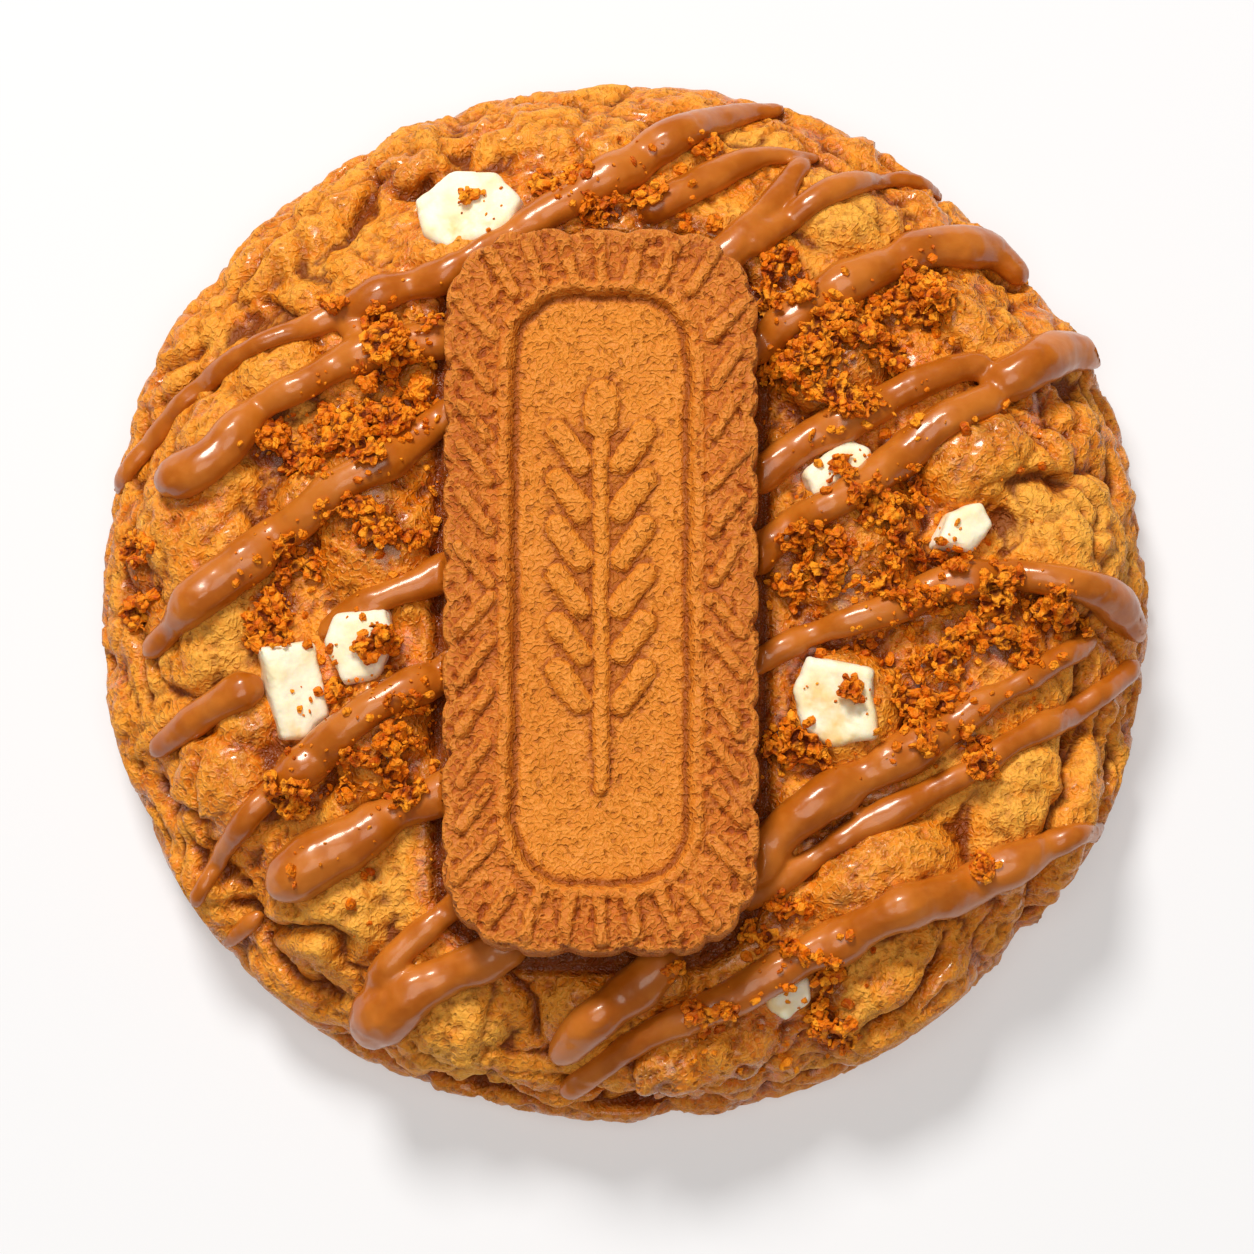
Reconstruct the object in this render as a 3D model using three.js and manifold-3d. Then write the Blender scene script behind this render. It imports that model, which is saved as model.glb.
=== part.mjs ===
// A thick, craggy bakery cookie with a whole speculoos biscuit pressed into its top, chunks of
// white chocolate, a drizzle of caramel-brown speculoos spread and clusters of biscuit crumbs.
//
// Millimetres, +Z up. The cookie rests on the plane z = 0, the origin is under the middle of its
// flat base, and the biscuit's long side runs along Y.
//
// The dough is one turned body: a ragged foot, and above it a crown whose height follows the
// rounded lobes and crags listed below. The drizzle and the crumbs are baked onto it, so they
// belong to the same solid. The biscuit and each chunk are solids of their own, seated in
// pockets that are cut a little larger than they are.

import * as THREE from "three";
import { mergeVertices } from "three/addons/utils/BufferGeometryUtils.js";
import Module from "manifold-3d";

const wasm = await Module();
wasm.setup();

// ---------------------------------------------------------------- driving dimensions

const GAP = 0.3; // free play round every seated piece

// The foot is what the dough spread to first, as rows of radius and height up its side, each
// with how far it waves in and out, and up and down.
const FOOT = [
  [47.4, 0, 0.4, 0], [51.0, 0.7, 0.5, 0.1], [52.0, 2.6, 0.5, 0.5], [51.5, 4.6, 0.5, 1.0],
  [49.8, 5.6, 1.1, 1.3], [50.8, 8.4, 0.6, 1.5],
];
const FAR_SWELL = 0.7; // how much further the far rim spread than the sides
const CROWN = { radius: 49.2, shoulder: 35, rim: 10.5, shoulderTop: 18.6, top: 21.2, rings: 18 };
const AROUND = 64; // divisions round the cookie

const LOBE_DEPTH = 8.5; // half height of a lobe, most of it sunk in the crown
const CRAG = { count: 110, small: 2.6, large: 5.6, proud: 1.3, depth: 3.6, seed: 11 };

const BISCUIT = {
  width: 30,
  length: 69.5,
  thickness: 6.4,
  corner: 8.5,
  x: -2.2,
  y: -1.4,
  seat: 21.7, // height of its underside
  scallops: 40,
  scallopDepth: 0.5,
  bevel: 1.4,
};
const PANEL = { width: 17.4, length: 56.5, corner: 6, depth: 0.55, bead: 0.9, beadRise: 0.25 };
const RIB = { radius: 0.75, length: 4.2, rise: 0.3, slant: 50, perSide: 11, perEnd: 6 };
const EAR = { length: 41, pairs: 5, grain: [3.4, 1.6, 0.75], lean: 36, spread: 3.3, stem: 0.7 };

// Strands and crumbs sink into the dough: lift is how far above it their middle lies, as a share
// of their own size.
const STRAND = { step: 5.2, sides: 6, lift: 0.3, sag: 0.8 };
const CRUMB = { small: 1.1, large: 2.1, lift: 0.35, seed: 23 };

// ---------------------------------------------------------------- places on the cookie

// Lobes of the crown: x, y, half length, half width, turn in degrees, height of the top.
const LOBES = [
  [-6, 43, 13, 6.5, -3, 16.6], // far rim
  [-20, 41.5, 7.5, 6, 25, 14.8],
  [-31, 33.5, 14, 6.5, 42, 15.2],
  [-40, 24.5, 12, 6, 52, 14.2],
  [-33, 21, 8, 6.5, 30, 19.8],
  [-37.5, 15, 8, 7, 60, 19.0], // left flank
  [-39, 5, 11, 8.5, 100, 19.4],
  [-46, 2, 5.5, 9, 0, 11.5],
  [-38.5, -6, 7.5, 6.5, 20, 18.6],
  [-37, -18, 8, 7.6, 60, 18.8],
  [-45, -12, 6, 9, 10, 12.2],
  [-39.5, -27.5, 7, 6, 130, 13.0],
  [-27, -30, 9, 8, 150, 19.2], // near rim
  [-31, -36, 8, 5, 140, 11.8],
  [-15.5, -39.5, 9.5, 8, 170, 17.0],
  [-4, -38.5, 7.5, 7.5, 0, 18.6],
  [7.5, -42.6, 12.5, 7, 5, 16.4],
  [24.5, -36, 10.5, 9, 35, 17.0],
  [24, -27.5, 11, 7, 25, 20.8],
  [37, -20.5, 9.5, 12, -25, 18.2], // right flank
  [46, -18, 5, 8, -18, 9.2],
  [41, 4.5, 8, 8.5, 0, 19.2],
  [33.5, 12, 9.5, 7.5, 20, 20.8],
  [42.5, 15, 5.5, 7, 20, 15.0],
  [32.5, 26, 13, 5.5, -38, 18.2],
  [40.5, 24, 6.5, 5.5, -45, 13.2],
  [21, 35.5, 9, 6.5, -20, 18.8],
  [28.5, 37, 8, 5, -35, 13.6],
  [14.5, 43.5, 8.5, 5.5, -15, 13.4],
  [5, 42, 8, 6, 5, 16.8],
  [-24, 6, 9, 14, 10, 22.0], // inner dough beside the biscuit
  [-23, -14, 8, 10, -8, 22.0],
  [22, 3, 9, 13, -6, 22.4],
  [21, -12, 8, 9, 8, 22.4],
  [20, 22, 8, 8, 0, 21.8],
  [-16, 33, 9, 6, 20, 19.8],
];

// Drizzle of spread: where each strand passes, as x, y, half width, from one end to the other.
const STRANDS = {
  far_long: [
    [16, 49.2, 0.7], [8, 46, 1.6], [-1.5, 40, 1.7], [-12, 34.2, 1.2], [-24, 28.3, 1.5],
    [-34, 24, 0.9], [-42.8, 19, 0.8], [-49.4, 12, 0.8],
  ],
  left_second: [[-16, 24, 1.5], [-26.5, 22.3, 1.7], [-35.5, 17.6, 1.3], [-39.6, 11.6, 1.8], [-44.3, 9.6, 1.9]],
  left_third: [[-16, 18, 1.4], [-22.5, 11.2, 1.4], [-30.5, 7, 1.6], [-38, 1, 2.0], [-46.2, -6, 1.3]],
  left_fourth: [[-15, 2, 1.5], [-26, -2.6, 1.3], [-30.5, -7, 1.2], [-37.5, -10.8, 1.8], [-45.6, -15, 1.3]],
  left_fifth: [[-15, -7, 1.8], [-28, -15.6, 1.9], [-35, -21, 1.1], [-42.2, -29.6, 0.8]],
  left_sixth: [[-15, -19, 1.6], [-25, -23.4, 1.8], [-33.3, -29.8, 2.5]],
  left_sixth_tail: [[-34.5, -30.5, 0.9], [-38.8, -33.6, 0.7]],
  near_left_thin: [[-16, -30.6, 1.2], [-21, -34.4, 1.1], [-24, -39, 1.4]],
  near_left: [[-9, -34.2, 1.6], [-19, -38.3, 1.7], [-25.4, -42.2, 2.3]],
  near_middle: [[3.5, -36.6, 1.5], [-2.4, -41, 1.9], [-6.4, -44.6, 1.6]],
  near_long: [
    [46.2, -22.4, 0.8], [40, -25.3, 1.3], [29.4, -29.6, 1.8], [20.7, -33.2, 2.0],
    [11, -39, 1.5], [2.5, -42.6, 1.3], [-6.4, -47.8, 0.8],
  ],
  right_sixth: [[11.5, -30.6, 0.9], [24, -22.9, 1.3], [37.1, -15.4, 1.2], [50, -6.4, 0.9]],
  right_fifth: [[11.5, -27, 1.7], [20.8, -19.5, 2.0], [33.5, -12, 1.4], [46.5, -3.4, 1.1]],
  right_fourth: [
    [11.5, -8, 1.2], [21.7, -3.7, 1.3], [33.4, 0.6, 1.5], [42, 1, 1.3], [47.5, -1, 1.4],
    [50, -4, 0.9],
  ],
  right_third: [[11, 1.2, 1.7], [20, 7.2, 1.5], [28, 13.6, 1.7], [37, 18.8, 1.3]],
  right_second: [[11.5, 10, 1.6], [24, 17.5, 1.5], [36, 22.4, 1.1]],
  right_second_end: [[34.5, 19.8, 1.8], [41, 22.8, 2.1], [46, 22.4, 1.3]],
  right_first: [[11.5, 22.5, 1.5], [22, 30, 1.8], [32, 33.6, 1.8], [39.8, 30.8, 1.1]],
  far_fork: [[9, 31.6, 1.8], [14, 37.4, 1.2], [17.8, 42, 1.0]],
  far_fork_side: [[10, 32, 1.4], [19.1, 38, 1.1], [30.5, 41, 0.7]],
  far_middle: [[1.6, 36.4, 1.3], [10, 41, 1.3], [18.5, 43, 0.7]],
};

// Clusters of speculoos crumbs: x, y, reach of the cluster, number of crumbs.
const CLUSTERS = [
  [-23, 22.5, 2.4, 4], [-34, 13.5, 1.8, 3], [-26, 14.5, 4.0, 4], [-23.5, 4.8, 3.0, 3],
  [-33.5, -2, 2.0, 3], [-22.5, -16, 2.6, 3], [-31.5, -20.8, 1.4, 2], [15.5, 29.6, 1.6, 2],
  [29.3, 29, 2.0, 3], [20, 21.5, 4.2, 5], [24.5, 7.2, 3.0, 2], [19.5, 2.6, 3.6, 4],
  [31, 1.8, 2.0, 2], [37.5, -4, 4.0, 4], [28.4, -11.3, 2.4, 3], [15.6, -15.8, 1.6, 2],
  [34.2, -16.4, 1.2, 2], [14.6, -32.4, 1.2, 2], [19.6, -41, 2.0, 2], [1, 36.8, 2.0, 2],
  [-8, 38.6, 1.4, 2], [-47.4, 1, 1.4, 2],
];

// Chunks of white chocolate: place, turn and tilt in degrees, corners of the broad face, depth.
const CHUNKS = {
  white_chunk_far_left: {
    at: [-15, 36.6, 17.6], turn: 0, tilt: [-8, -4], depth: 4.6,
    corners: [[-5.2, 1.2], [-1.8, 4.0], [2.8, 3.8], [5.4, 1.0], [3.6, -2.6], [-1.6, -4.2], [-4.2, -2.6]],
  },
  white_chunk_left: {
    at: [-32, -10.2, 18.2], turn: 4, tilt: [8, 14], depth: 5.4,
    corners: [[-3.4, 4.2], [1.9, 4.8], [3.3, -2.6], [0.4, -4.9], [-1.5, -4.7]],
  },
  white_chunk_left_inner: {
    at: [-25.1, -6.2, 20.2], turn: 8, tilt: [4, -6], depth: 4.4,
    corners: [[-3.2, 1.0], [-1.8, 3.4], [3.2, 3.2], [3.6, 0.6], [1.4, -3.2], [-2.0, -3.6]],
  },
  white_chunk_right_upper: {
    at: [20.6, 11, 20.2], turn: 30, tilt: [3, 6], depth: 4.0,
    corners: [[-3.8, -1.6], [-3.4, 1.6], [2.2, 2.4], [3.8, 0.2], [2.2, -2.2]],
  },
  white_chunk_right: {
    at: [32.4, 5.2, 19.2], turn: 22, tilt: [4, 10], depth: 4.0,
    corners: [[-3.4, -0.6], [-1.0, 2.0], [2.8, 1.8], [3.2, -0.8], [0, -2.4]],
  },
  white_chunk_right_lower: {
    at: [20.4, -11.6, 20.6], turn: -4, tilt: [6, -4], depth: 5.0,
    corners: [[-4.2, 0.8], [-3.2, 4.3], [3.4, 3.4], [4.1, -3.2], [-0.4, -4.4], [-3.2, -3.0]],
  },
  white_chunk_near: {
    at: [15.2, -39.4, 15.4], turn: 0, tilt: [16, 4], depth: 3.8,
    corners: [[-2.6, 1.4], [2.4, 1.9], [2.6, -0.6], [0.2, -2.4], [-1.4, -1.2]],
  },
};
const CHUNK_BEVEL = 0.5;

const MATERIALS = {
  cookie: new THREE.MeshStandardMaterial({ color: 0xc98540, roughness: 0.75, metalness: 0 }),
  biscuit: new THREE.MeshStandardMaterial({ color: 0xbf7230, roughness: 0.8, metalness: 0 }),
  chocolate: new THREE.MeshStandardMaterial({ color: 0xf6e6bf, roughness: 0.45, metalness: 0 }),
};

// ---------------------------------------------------------------- small helpers

const radians = THREE.MathUtils.degToRad;
const lerp = THREE.MathUtils.lerp;

// Repeatable random numbers from 0 to 1.
function randomFrom(seed) {
  let state = seed * 7919 + 17;
  return () => {
    state = (state * 16807) % 2147483647;
    return state / 2147483647;
  };
}

// A closed three.js geometry as a solid that can be joined and cut.
function solidOf(geometry) {
  const bare = geometry.clone();
  bare.deleteAttribute("normal");
  bare.deleteAttribute("uv");
  const merged = mergeVertices(bare, 1e-4);
  const index = merged.index.array;
  const faces = [];
  for (let i = 0; i < index.length; i += 3) {
    const [a, b, c] = [index[i], index[i + 1], index[i + 2]];
    if (a !== b && b !== c && a !== c) faces.push(a, b, c);
  }
  const mesh = new wasm.Mesh({
    numProp: 3,
    vertProperties: new Float32Array(merged.attributes.position.array),
    triVerts: new Uint32Array(faces),
  });
  return new wasm.Manifold(mesh);
}

// The solid as a named mesh. Only its largest piece is kept, so no cut-off scrap is left loose.
function meshOf(solid, name, material) {
  const whole = solid.decompose().sort((a, b) => b.volume() - a.volume())[0];
  const { vertProperties, triVerts, numProp } = whole.getMesh();
  const points = new Float32Array((vertProperties.length / numProp) * 3);
  for (let i = 0; i < points.length / 3; i++) {
    points.set(vertProperties.subarray(i * numProp, i * numProp + 3), i * 3);
  }
  const geometry = new THREE.BufferGeometry();
  geometry.setAttribute("position", new THREE.BufferAttribute(points, 3));
  geometry.setIndex(new THREE.BufferAttribute(triVerts, 1));
  geometry.computeVertexNormals();
  const mesh = new THREE.Mesh(geometry, material);
  mesh.name = name;
  return mesh;
}

const joined = (solids) => solids.reduce((all, one) => all.add(one));

// Low waves round a rim, so that no edge of the cookie is a true circle.
function rimWave(angle, phase) {
  return (
    0.5 * Math.sin(3 * angle + phase) +
    0.3 * Math.sin(7 * angle + 2.1 * phase) +
    0.2 * Math.sin(13 * angle + 3.7 * phase)
  );
}

// ---------------------------------------------------------------- the dough

// Height of the crown's dome at a distance from its middle.
function crownHeight(distance) {
  const { shoulder, shoulderTop, top, rim, radius } = CROWN;
  if (distance > radius) return 0;
  if (distance < shoulder) return top - (top - shoulderTop) * (distance / shoulder) ** 2;
  return lerp(shoulderTop, rim, ((distance - shoulder) / (radius - shoulder)) ** 2);
}

// How high an upright ellipsoid stands over a place, or nothing if it doesn't reach that far.
function moundHeight([mx, my, long, wide, turn, top], depth, x, y) {
  const c = Math.cos(radians(turn));
  const s = Math.sin(radians(turn));
  const u = ((x - mx) * c + (y - my) * s) / long;
  const v = ((y - my) * c - (x - mx) * s) / wide;
  const left = 1 - u * u - v * v;
  return left > 0 ? top - depth * (1 - Math.sqrt(left)) : 0;
}

function lobeHeight(x, y) {
  let height = crownHeight(Math.hypot(x, y));
  for (const lobe of LOBES) height = Math.max(height, moundHeight(lobe, LOBE_DEPTH, x, y));
  return height;
}

// Smaller crags that break up the crown, clear of the biscuit's seat.
function scatterCrags() {
  const random = randomFrom(CRAG.seed);
  const made = [];
  while (made.length < CRAG.count) {
    const distance = 46 * Math.sqrt(lerp(0.12, 1, random()));
    const angle = 2 * Math.PI * random();
    const size = lerp(CRAG.small, CRAG.large, random() ** 2);
    const stretch = lerp(0.65, 1, random());
    const turn = 180 * random();
    const [x, y] = [distance * Math.cos(angle), distance * Math.sin(angle)];
    const besideX = Math.abs(x - BISCUIT.x) - BISCUIT.width / 2;
    const besideY = Math.abs(y - BISCUIT.y) - BISCUIT.length / 2;
    if (Math.max(besideX, besideY) < 1) continue;
    made.push([x, y, size, size * stretch, turn, lobeHeight(x, y) + CRAG.proud * random()]);
  }
  return made;
}
const CRAGS = scatterCrags();

// Height of the whole dough, lobes and crags included, at a place seen from above.
function doughHeight(x, y) {
  let height = lobeHeight(x, y);
  for (const crag of CRAGS) height = Math.max(height, moundHeight(crag, CRAG.depth, x, y));
  return height;
}

// Height of whatever is seen from above at a place: the crown, or the foot that juts out past it.
function surfaceHeight(x, y) {
  const distance = Math.hypot(x, y);
  if (distance <= CROWN.radius) return doughHeight(x, y);
  const rim = CROWN.radius / distance;
  let [inner, above] = [CROWN.radius, doughHeight(x * rim, y * rim)];
  for (let row = FOOT.length - 1; row > 1; row--) {
    const [outer, level] = FOOT[row];
    if (distance < outer) return lerp(above, level, (distance - inner) / (outer - inner));
    if (outer > inner) [inner, above] = [outer, level];
  }
  return above;
}

// One turned body: the rows of the foot, then rings over the crown at the height of the dough.
function dough() {
  const profile = [new THREE.Vector2(0, 0), ...FOOT.map(([r, z]) => new THREE.Vector2(r, z))];
  const firstRing = profile.length;
  for (let i = 0; i < CROWN.rings; i++) {
    const radius = CROWN.radius * (1 - (i / CROWN.rings) ** 1.08);
    profile.push(new THREE.Vector2(radius, CROWN.top));
  }
  profile.push(new THREE.Vector2(0, CROWN.top));
  const body = new THREE.LatheGeometry(profile, AROUND).rotateX(Math.PI / 2);
  const place = body.attributes.position;
  const crownWave = 0.5;
  for (let i = 0; i < place.count; i++) {
    const row = i % profile.length;
    const radius = profile[row].x;
    if (radius === 0) continue;
    const half = row % 2 ? 0 : Math.PI / AROUND;
    const angle = Math.atan2(place.getY(i), place.getX(i)) + half;
    const inFoot = row < firstRing;
    const wave = inFoot ? FOOT[row - 1][2] : crownWave * (radius / CROWN.radius) ** 6;
    const swell = FAR_SWELL * Math.sin(angle) * (radius / CROWN.radius) ** 6;
    const out = radius + swell + wave * rimWave(angle, 1.3 + 0.35 * row);
    const [x, y] = [out * Math.cos(angle), out * Math.sin(angle)];
    const rise = inFoot ? FOOT[row - 1][3] * rimWave(angle + 1.1, 2.4) : 0;
    place.setXYZ(i, x, y, inFoot ? place.getZ(i) + rise : doughHeight(x, y));
  }
  return solidOf(body);
}

// ---------------------------------------------------------------- drizzle and crumbs

// A strand of spread: a turned spindle with round ends, bent along its path over the dough. It
// lies on the slope it crosses, sunk in by part of its own thickness.
function strand(points) {
  const flat = new THREE.CatmullRomCurve3(points.map(([x, y, r]) => new THREE.Vector3(x, y, r)));
  const length = flat.getLength();
  const steps = Math.max(4, Math.round(length / STRAND.step));
  const stations = flat.getSpacedPoints(steps);
  const path = stations.map(({ x, y, z: radius }) => {
    const reach = 1 + radius;
    const east = surfaceHeight(x + reach, y);
    const west = surfaceHeight(x - reach, y);
    const north = surfaceHeight(x, y + reach);
    const south = surfaceHeight(x, y - reach);
    const here = surfaceHeight(x, y);
    const level = Math.max((east + west + north + south + 2 * here) / 6, here - STRAND.sag);
    const slope = new THREE.Vector3(west - east, south - north, 2 * reach).normalize();
    return new THREE.Vector3(x, y, level).addScaledVector(slope, STRAND.lift * radius);
  });
  const curve = new THREE.CatmullRomCurve3(path);
  const profile = [new THREE.Vector2(0, 0)];
  stations.forEach(({ z: radius }, i) => {
    const fromEnd = (Math.min(i, steps - i) / steps) * length;
    const round = Math.sqrt(Math.min(1, (fromEnd + 0.35 * radius) / (1.35 * radius)));
    profile.push(new THREE.Vector2(radius * round, i / steps));
  });
  profile.push(new THREE.Vector2(0, 1));
  const spindle = new THREE.LatheGeometry(profile, STRAND.sides);
  const place = spindle.attributes.position;
  const up = new THREE.Vector3(0, 0, 1);
  for (let i = 0; i < place.count; i++) {
    const along = place.getY(i);
    const centre = curve.getPoint(along);
    const tangent = curve.getTangent(along);
    const side = new THREE.Vector3().crossVectors(up, tangent).normalize();
    const rise = new THREE.Vector3().crossVectors(tangent, side).normalize();
    centre.addScaledVector(side, place.getZ(i)).addScaledVector(rise, place.getX(i));
    place.setXYZ(i, centre.x, centre.y, centre.z);
  }
  return solidOf(spindle);
}

function crumbs() {
  const random = randomFrom(CRUMB.seed);
  const made = [];
  for (const [cx, cy, reach, count] of CLUSTERS) {
    for (let i = 0; i < count; i++) {
      const distance = reach * Math.sqrt(random());
      const angle = 2 * Math.PI * random();
      const size = lerp(CRUMB.large, CRUMB.small, distance / reach) * lerp(0.75, 1.15, random());
      const [x, y] = [cx + distance * Math.cos(angle), cy + distance * Math.sin(angle)];
      const crumb = new THREE.IcosahedronGeometry(size, 0);
      crumb.scale(lerp(0.8, 1.2, random()), 1, lerp(0.7, 1, random()));
      crumb.rotateX(Math.PI * random()).rotateZ(Math.PI * random());
      crumb.translate(x, y, surfaceHeight(x, y) + CRUMB.lift * size);
      made.push(solidOf(crumb));
    }
  }
  return made;
}

// ---------------------------------------------------------------- the speculoos biscuit

// Rounded rectangle as a closed row of points, grown outwards and scalloped if asked.
function roundedOutline(width, length, corner, grow, scallopDepth) {
  const core = new THREE.Shape();
  const [w, l, r] = [width / 2 + grow, length / 2 + grow, corner + grow];
  core.moveTo(-w + r, -l).lineTo(w - r, -l).absarc(w - r, -l + r, r, -Math.PI / 2, 0);
  core.lineTo(w, l - r).absarc(w - r, l - r, r, 0, Math.PI / 2);
  core.lineTo(-w + r, l).absarc(-w + r, l - r, r, Math.PI / 2, Math.PI);
  core.lineTo(-w, -l + r).absarc(-w + r, -l + r, r, Math.PI, 1.5 * Math.PI);
  const count = BISCUIT.scallops * (scallopDepth ? 2 : 1);
  const spaced = core.getSpacedPoints(count);
  spaced.pop();
  return spaced.map((p, i) => {
    const before = spaced[(i + count - 1) % count];
    const after = spaced[(i + 1) % count];
    const outward = new THREE.Vector2(after.y - before.y, before.x - after.x).normalize();
    const bump = i % 2 === 0 ? -scallopDepth : 0;
    return p.clone().addScaledVector(outward, bump);
  });
}

function slab(outline, bottom, top, bevel) {
  const options = {
    depth: top - bottom - 2 * bevel,
    bevelEnabled: bevel > 0,
    bevelThickness: bevel,
    bevelSize: bevel,
    bevelOffset: -bevel,
    bevelSegments: 1,
  };
  const shape = new THREE.Shape(outline);
  return solidOf(new THREE.ExtrudeGeometry(shape, options).translate(0, 0, bottom + bevel));
}

// One raised rib of the fluted border, lying on the biscuit's top.
function rib(x, y, direction, length) {
  const shape = new THREE.CapsuleGeometry(RIB.radius, length, 1, 5);
  shape.rotateZ(radians(direction - 90));
  const lift = BISCUIT.thickness + RIB.rise - RIB.radius;
  return solidOf(shape.translate(x, y, lift));
}

// Ribs lean away from the biscuit's middle, like the veins of a leaf.
function ribs() {
  const made = [];
  const across = (BISCUIT.width + PANEL.width) / 4;
  const along = (BISCUIT.length + PANEL.length) / 4;
  for (let i = 0; i < RIB.perSide; i++) {
    const y = lerp(-PANEL.length / 2 + 3, PANEL.length / 2 - 3, i / (RIB.perSide - 1));
    const lean = RIB.slant * Math.sign(y);
    if (Math.abs(y) < 2) continue;
    for (const side of [-1, 1]) {
      const direction = side > 0 ? lean : 180 - lean;
      made.push(rib(side * across, y, direction, RIB.length * 0.8));
    }
  }
  for (let i = 0; i < RIB.perEnd; i++) {
    const x = lerp(-9, 9, i / (RIB.perEnd - 1));
    for (const end of [-1, 1]) {
      made.push(rib(x, end * along * 0.995, end * (90 - 2.6 * x), RIB.length * 0.62));
    }
  }
  return made;
}

// An ear of wheat in low relief on the panel: a stem, pairs of grains and one at the tip.
function wheatEar(level) {
  const grain = (x, y, turn) => {
    const shape = new THREE.SphereGeometry(1, 6, 4).scale(...EAR.grain).rotateZ(radians(turn));
    return solidOf(shape.translate(x, y, level));
  };
  const pitch = (EAR.length * 0.72) / EAR.pairs;
  const first = -EAR.length / 2 + EAR.length * 0.22;
  const parts = [grain(0, EAR.length / 2 - EAR.grain[0], 90)];
  for (let i = 0; i < EAR.pairs; i++) {
    for (const side of [-1, 1]) {
      const turn = 90 - side * EAR.lean;
      parts.push(grain(side * EAR.spread, first + i * pitch, turn));
    }
  }
  const stem = new THREE.CapsuleGeometry(EAR.stem, EAR.length * 0.86, 1, 6);
  parts.push(solidOf(stem.translate(0, -EAR.length * 0.05, level - 0.1)));
  return parts;
}

function biscuit() {
  const { width, length, thickness, corner, bevel, scallopDepth } = BISCUIT;
  const panel = (grow) => roundedOutline(PANEL.width, PANEL.length, PANEL.corner, grow, 0);
  const body = slab(roundedOutline(width, length, corner, 0, scallopDepth), 0, thickness, bevel);
  const floor = thickness - PANEL.depth;
  const bead = slab(panel(PANEL.bead), floor - 0.5, thickness + PANEL.beadRise, 0);
  const hollow = slab(panel(0), floor, thickness + 2, 0);
  return joined([body, bead, ...ribs()]).subtract(hollow).add(joined(wheatEar(floor)));
}

// ---------------------------------------------------------------- white chocolate

// A chunk, or the pocket that takes it when it is grown by the free play.
function chunk({ at, turn, tilt, depth, corners }, grow) {
  const outline = corners.map(([x, y]) => new THREE.Vector2(x, y));
  const options = {
    depth: depth - 2 * CHUNK_BEVEL,
    bevelThickness: CHUNK_BEVEL,
    bevelSize: CHUNK_BEVEL,
    bevelOffset: -CHUNK_BEVEL,
    bevelSegments: 1,
  };
  const shape = new THREE.ExtrudeGeometry(new THREE.Shape(outline), options).center();
  shape.computeBoundingBox();
  const size = shape.boundingBox.getSize(new THREE.Vector3());
  shape.scale(...size.toArray().map((extent) => (extent + 2 * grow) / extent));
  shape.rotateX(radians(tilt[0])).rotateY(radians(tilt[1])).rotateZ(radians(turn));
  return solidOf(shape.translate(...at));
}

// ---------------------------------------------------------------- assembly

const below = solidOf(new THREE.BoxGeometry(200, 200, 50).translate(0, 0, -25));
const seatOutline = roundedOutline(BISCUIT.width, BISCUIT.length, BISCUIT.corner, GAP, 0);
const seat = slab(seatOutline, BISCUIT.seat - GAP, 60, 0).translate(BISCUIT.x, BISCUIT.y, 0);
const pockets = Object.values(CHUNKS).map((one) => chunk(one, 1.5 * GAP));

const toppings = joined([...Object.values(STRANDS).map(strand), ...crumbs()]);
const cookie = joined([dough(), toppings])
  .subtract(seat)
  .subtract(joined(pockets))
  .subtract(below);

const part = new THREE.Group();
part.add(meshOf(cookie, "cookie", MATERIALS.cookie));

const biscuitMesh = meshOf(biscuit(), "biscuit", MATERIALS.biscuit);
biscuitMesh.position.set(BISCUIT.x, BISCUIT.y, BISCUIT.seat);
part.add(biscuitMesh);

for (const [name, one] of Object.entries(CHUNKS)) {
  part.add(meshOf(chunk(one, 0), name, MATERIALS.chocolate));
}

export default part;
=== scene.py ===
# %% [markdown]
# # A speculoos-topped cookie
# A thick bakery cookie about 104 mm wide, seen almost straight from above. A whole speculoos
# biscuit is pressed into its top, with chunks of white chocolate, a drizzle of caramel-brown
# spread and clusters of biscuit crumbs. Every length in the lists below is in millimetres.

# %% Load the frame
import math

import bmesh
import bpy
import numpy as np
from mathutils import Matrix, Vector, noise
from mathutils.bvhtree import BVHTree


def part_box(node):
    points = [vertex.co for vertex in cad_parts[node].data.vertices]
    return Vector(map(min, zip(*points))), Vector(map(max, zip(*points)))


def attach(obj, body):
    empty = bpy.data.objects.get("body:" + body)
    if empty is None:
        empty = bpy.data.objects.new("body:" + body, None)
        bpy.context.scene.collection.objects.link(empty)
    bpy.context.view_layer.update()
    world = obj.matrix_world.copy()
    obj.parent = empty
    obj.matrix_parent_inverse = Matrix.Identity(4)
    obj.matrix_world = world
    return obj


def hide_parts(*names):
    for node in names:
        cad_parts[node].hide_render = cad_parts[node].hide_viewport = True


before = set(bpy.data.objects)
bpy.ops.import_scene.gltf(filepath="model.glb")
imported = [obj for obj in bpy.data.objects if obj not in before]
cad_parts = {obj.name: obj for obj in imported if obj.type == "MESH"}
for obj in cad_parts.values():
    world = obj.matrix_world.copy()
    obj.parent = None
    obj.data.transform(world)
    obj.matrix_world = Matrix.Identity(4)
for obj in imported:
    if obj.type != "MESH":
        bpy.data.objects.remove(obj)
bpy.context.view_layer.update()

MM = 0.001

# %% [markdown]
# ## Small helpers
# An operator works on whatever is selected, and the loaded solids arrive selected, so each new
# piece starts by deselecting everything. `finish_modifier` applies a modifier at once, so that
# the mesh itself can be measured and shaped further.

# %% Helpers for whole meshes
def deselect():
    bpy.ops.object.select_all(action="DESELECT")


def only(obj):
    deselect()
    obj.select_set(True)
    bpy.context.view_layer.objects.active = obj
    return obj


def finish_modifier(obj, kind, **settings):
    only(obj)
    modifier = obj.modifiers.new(kind, kind)
    for name, value in settings.items():
        setattr(modifier, name, value)
    bpy.ops.object.modifier_apply(modifier=modifier.name)


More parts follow.
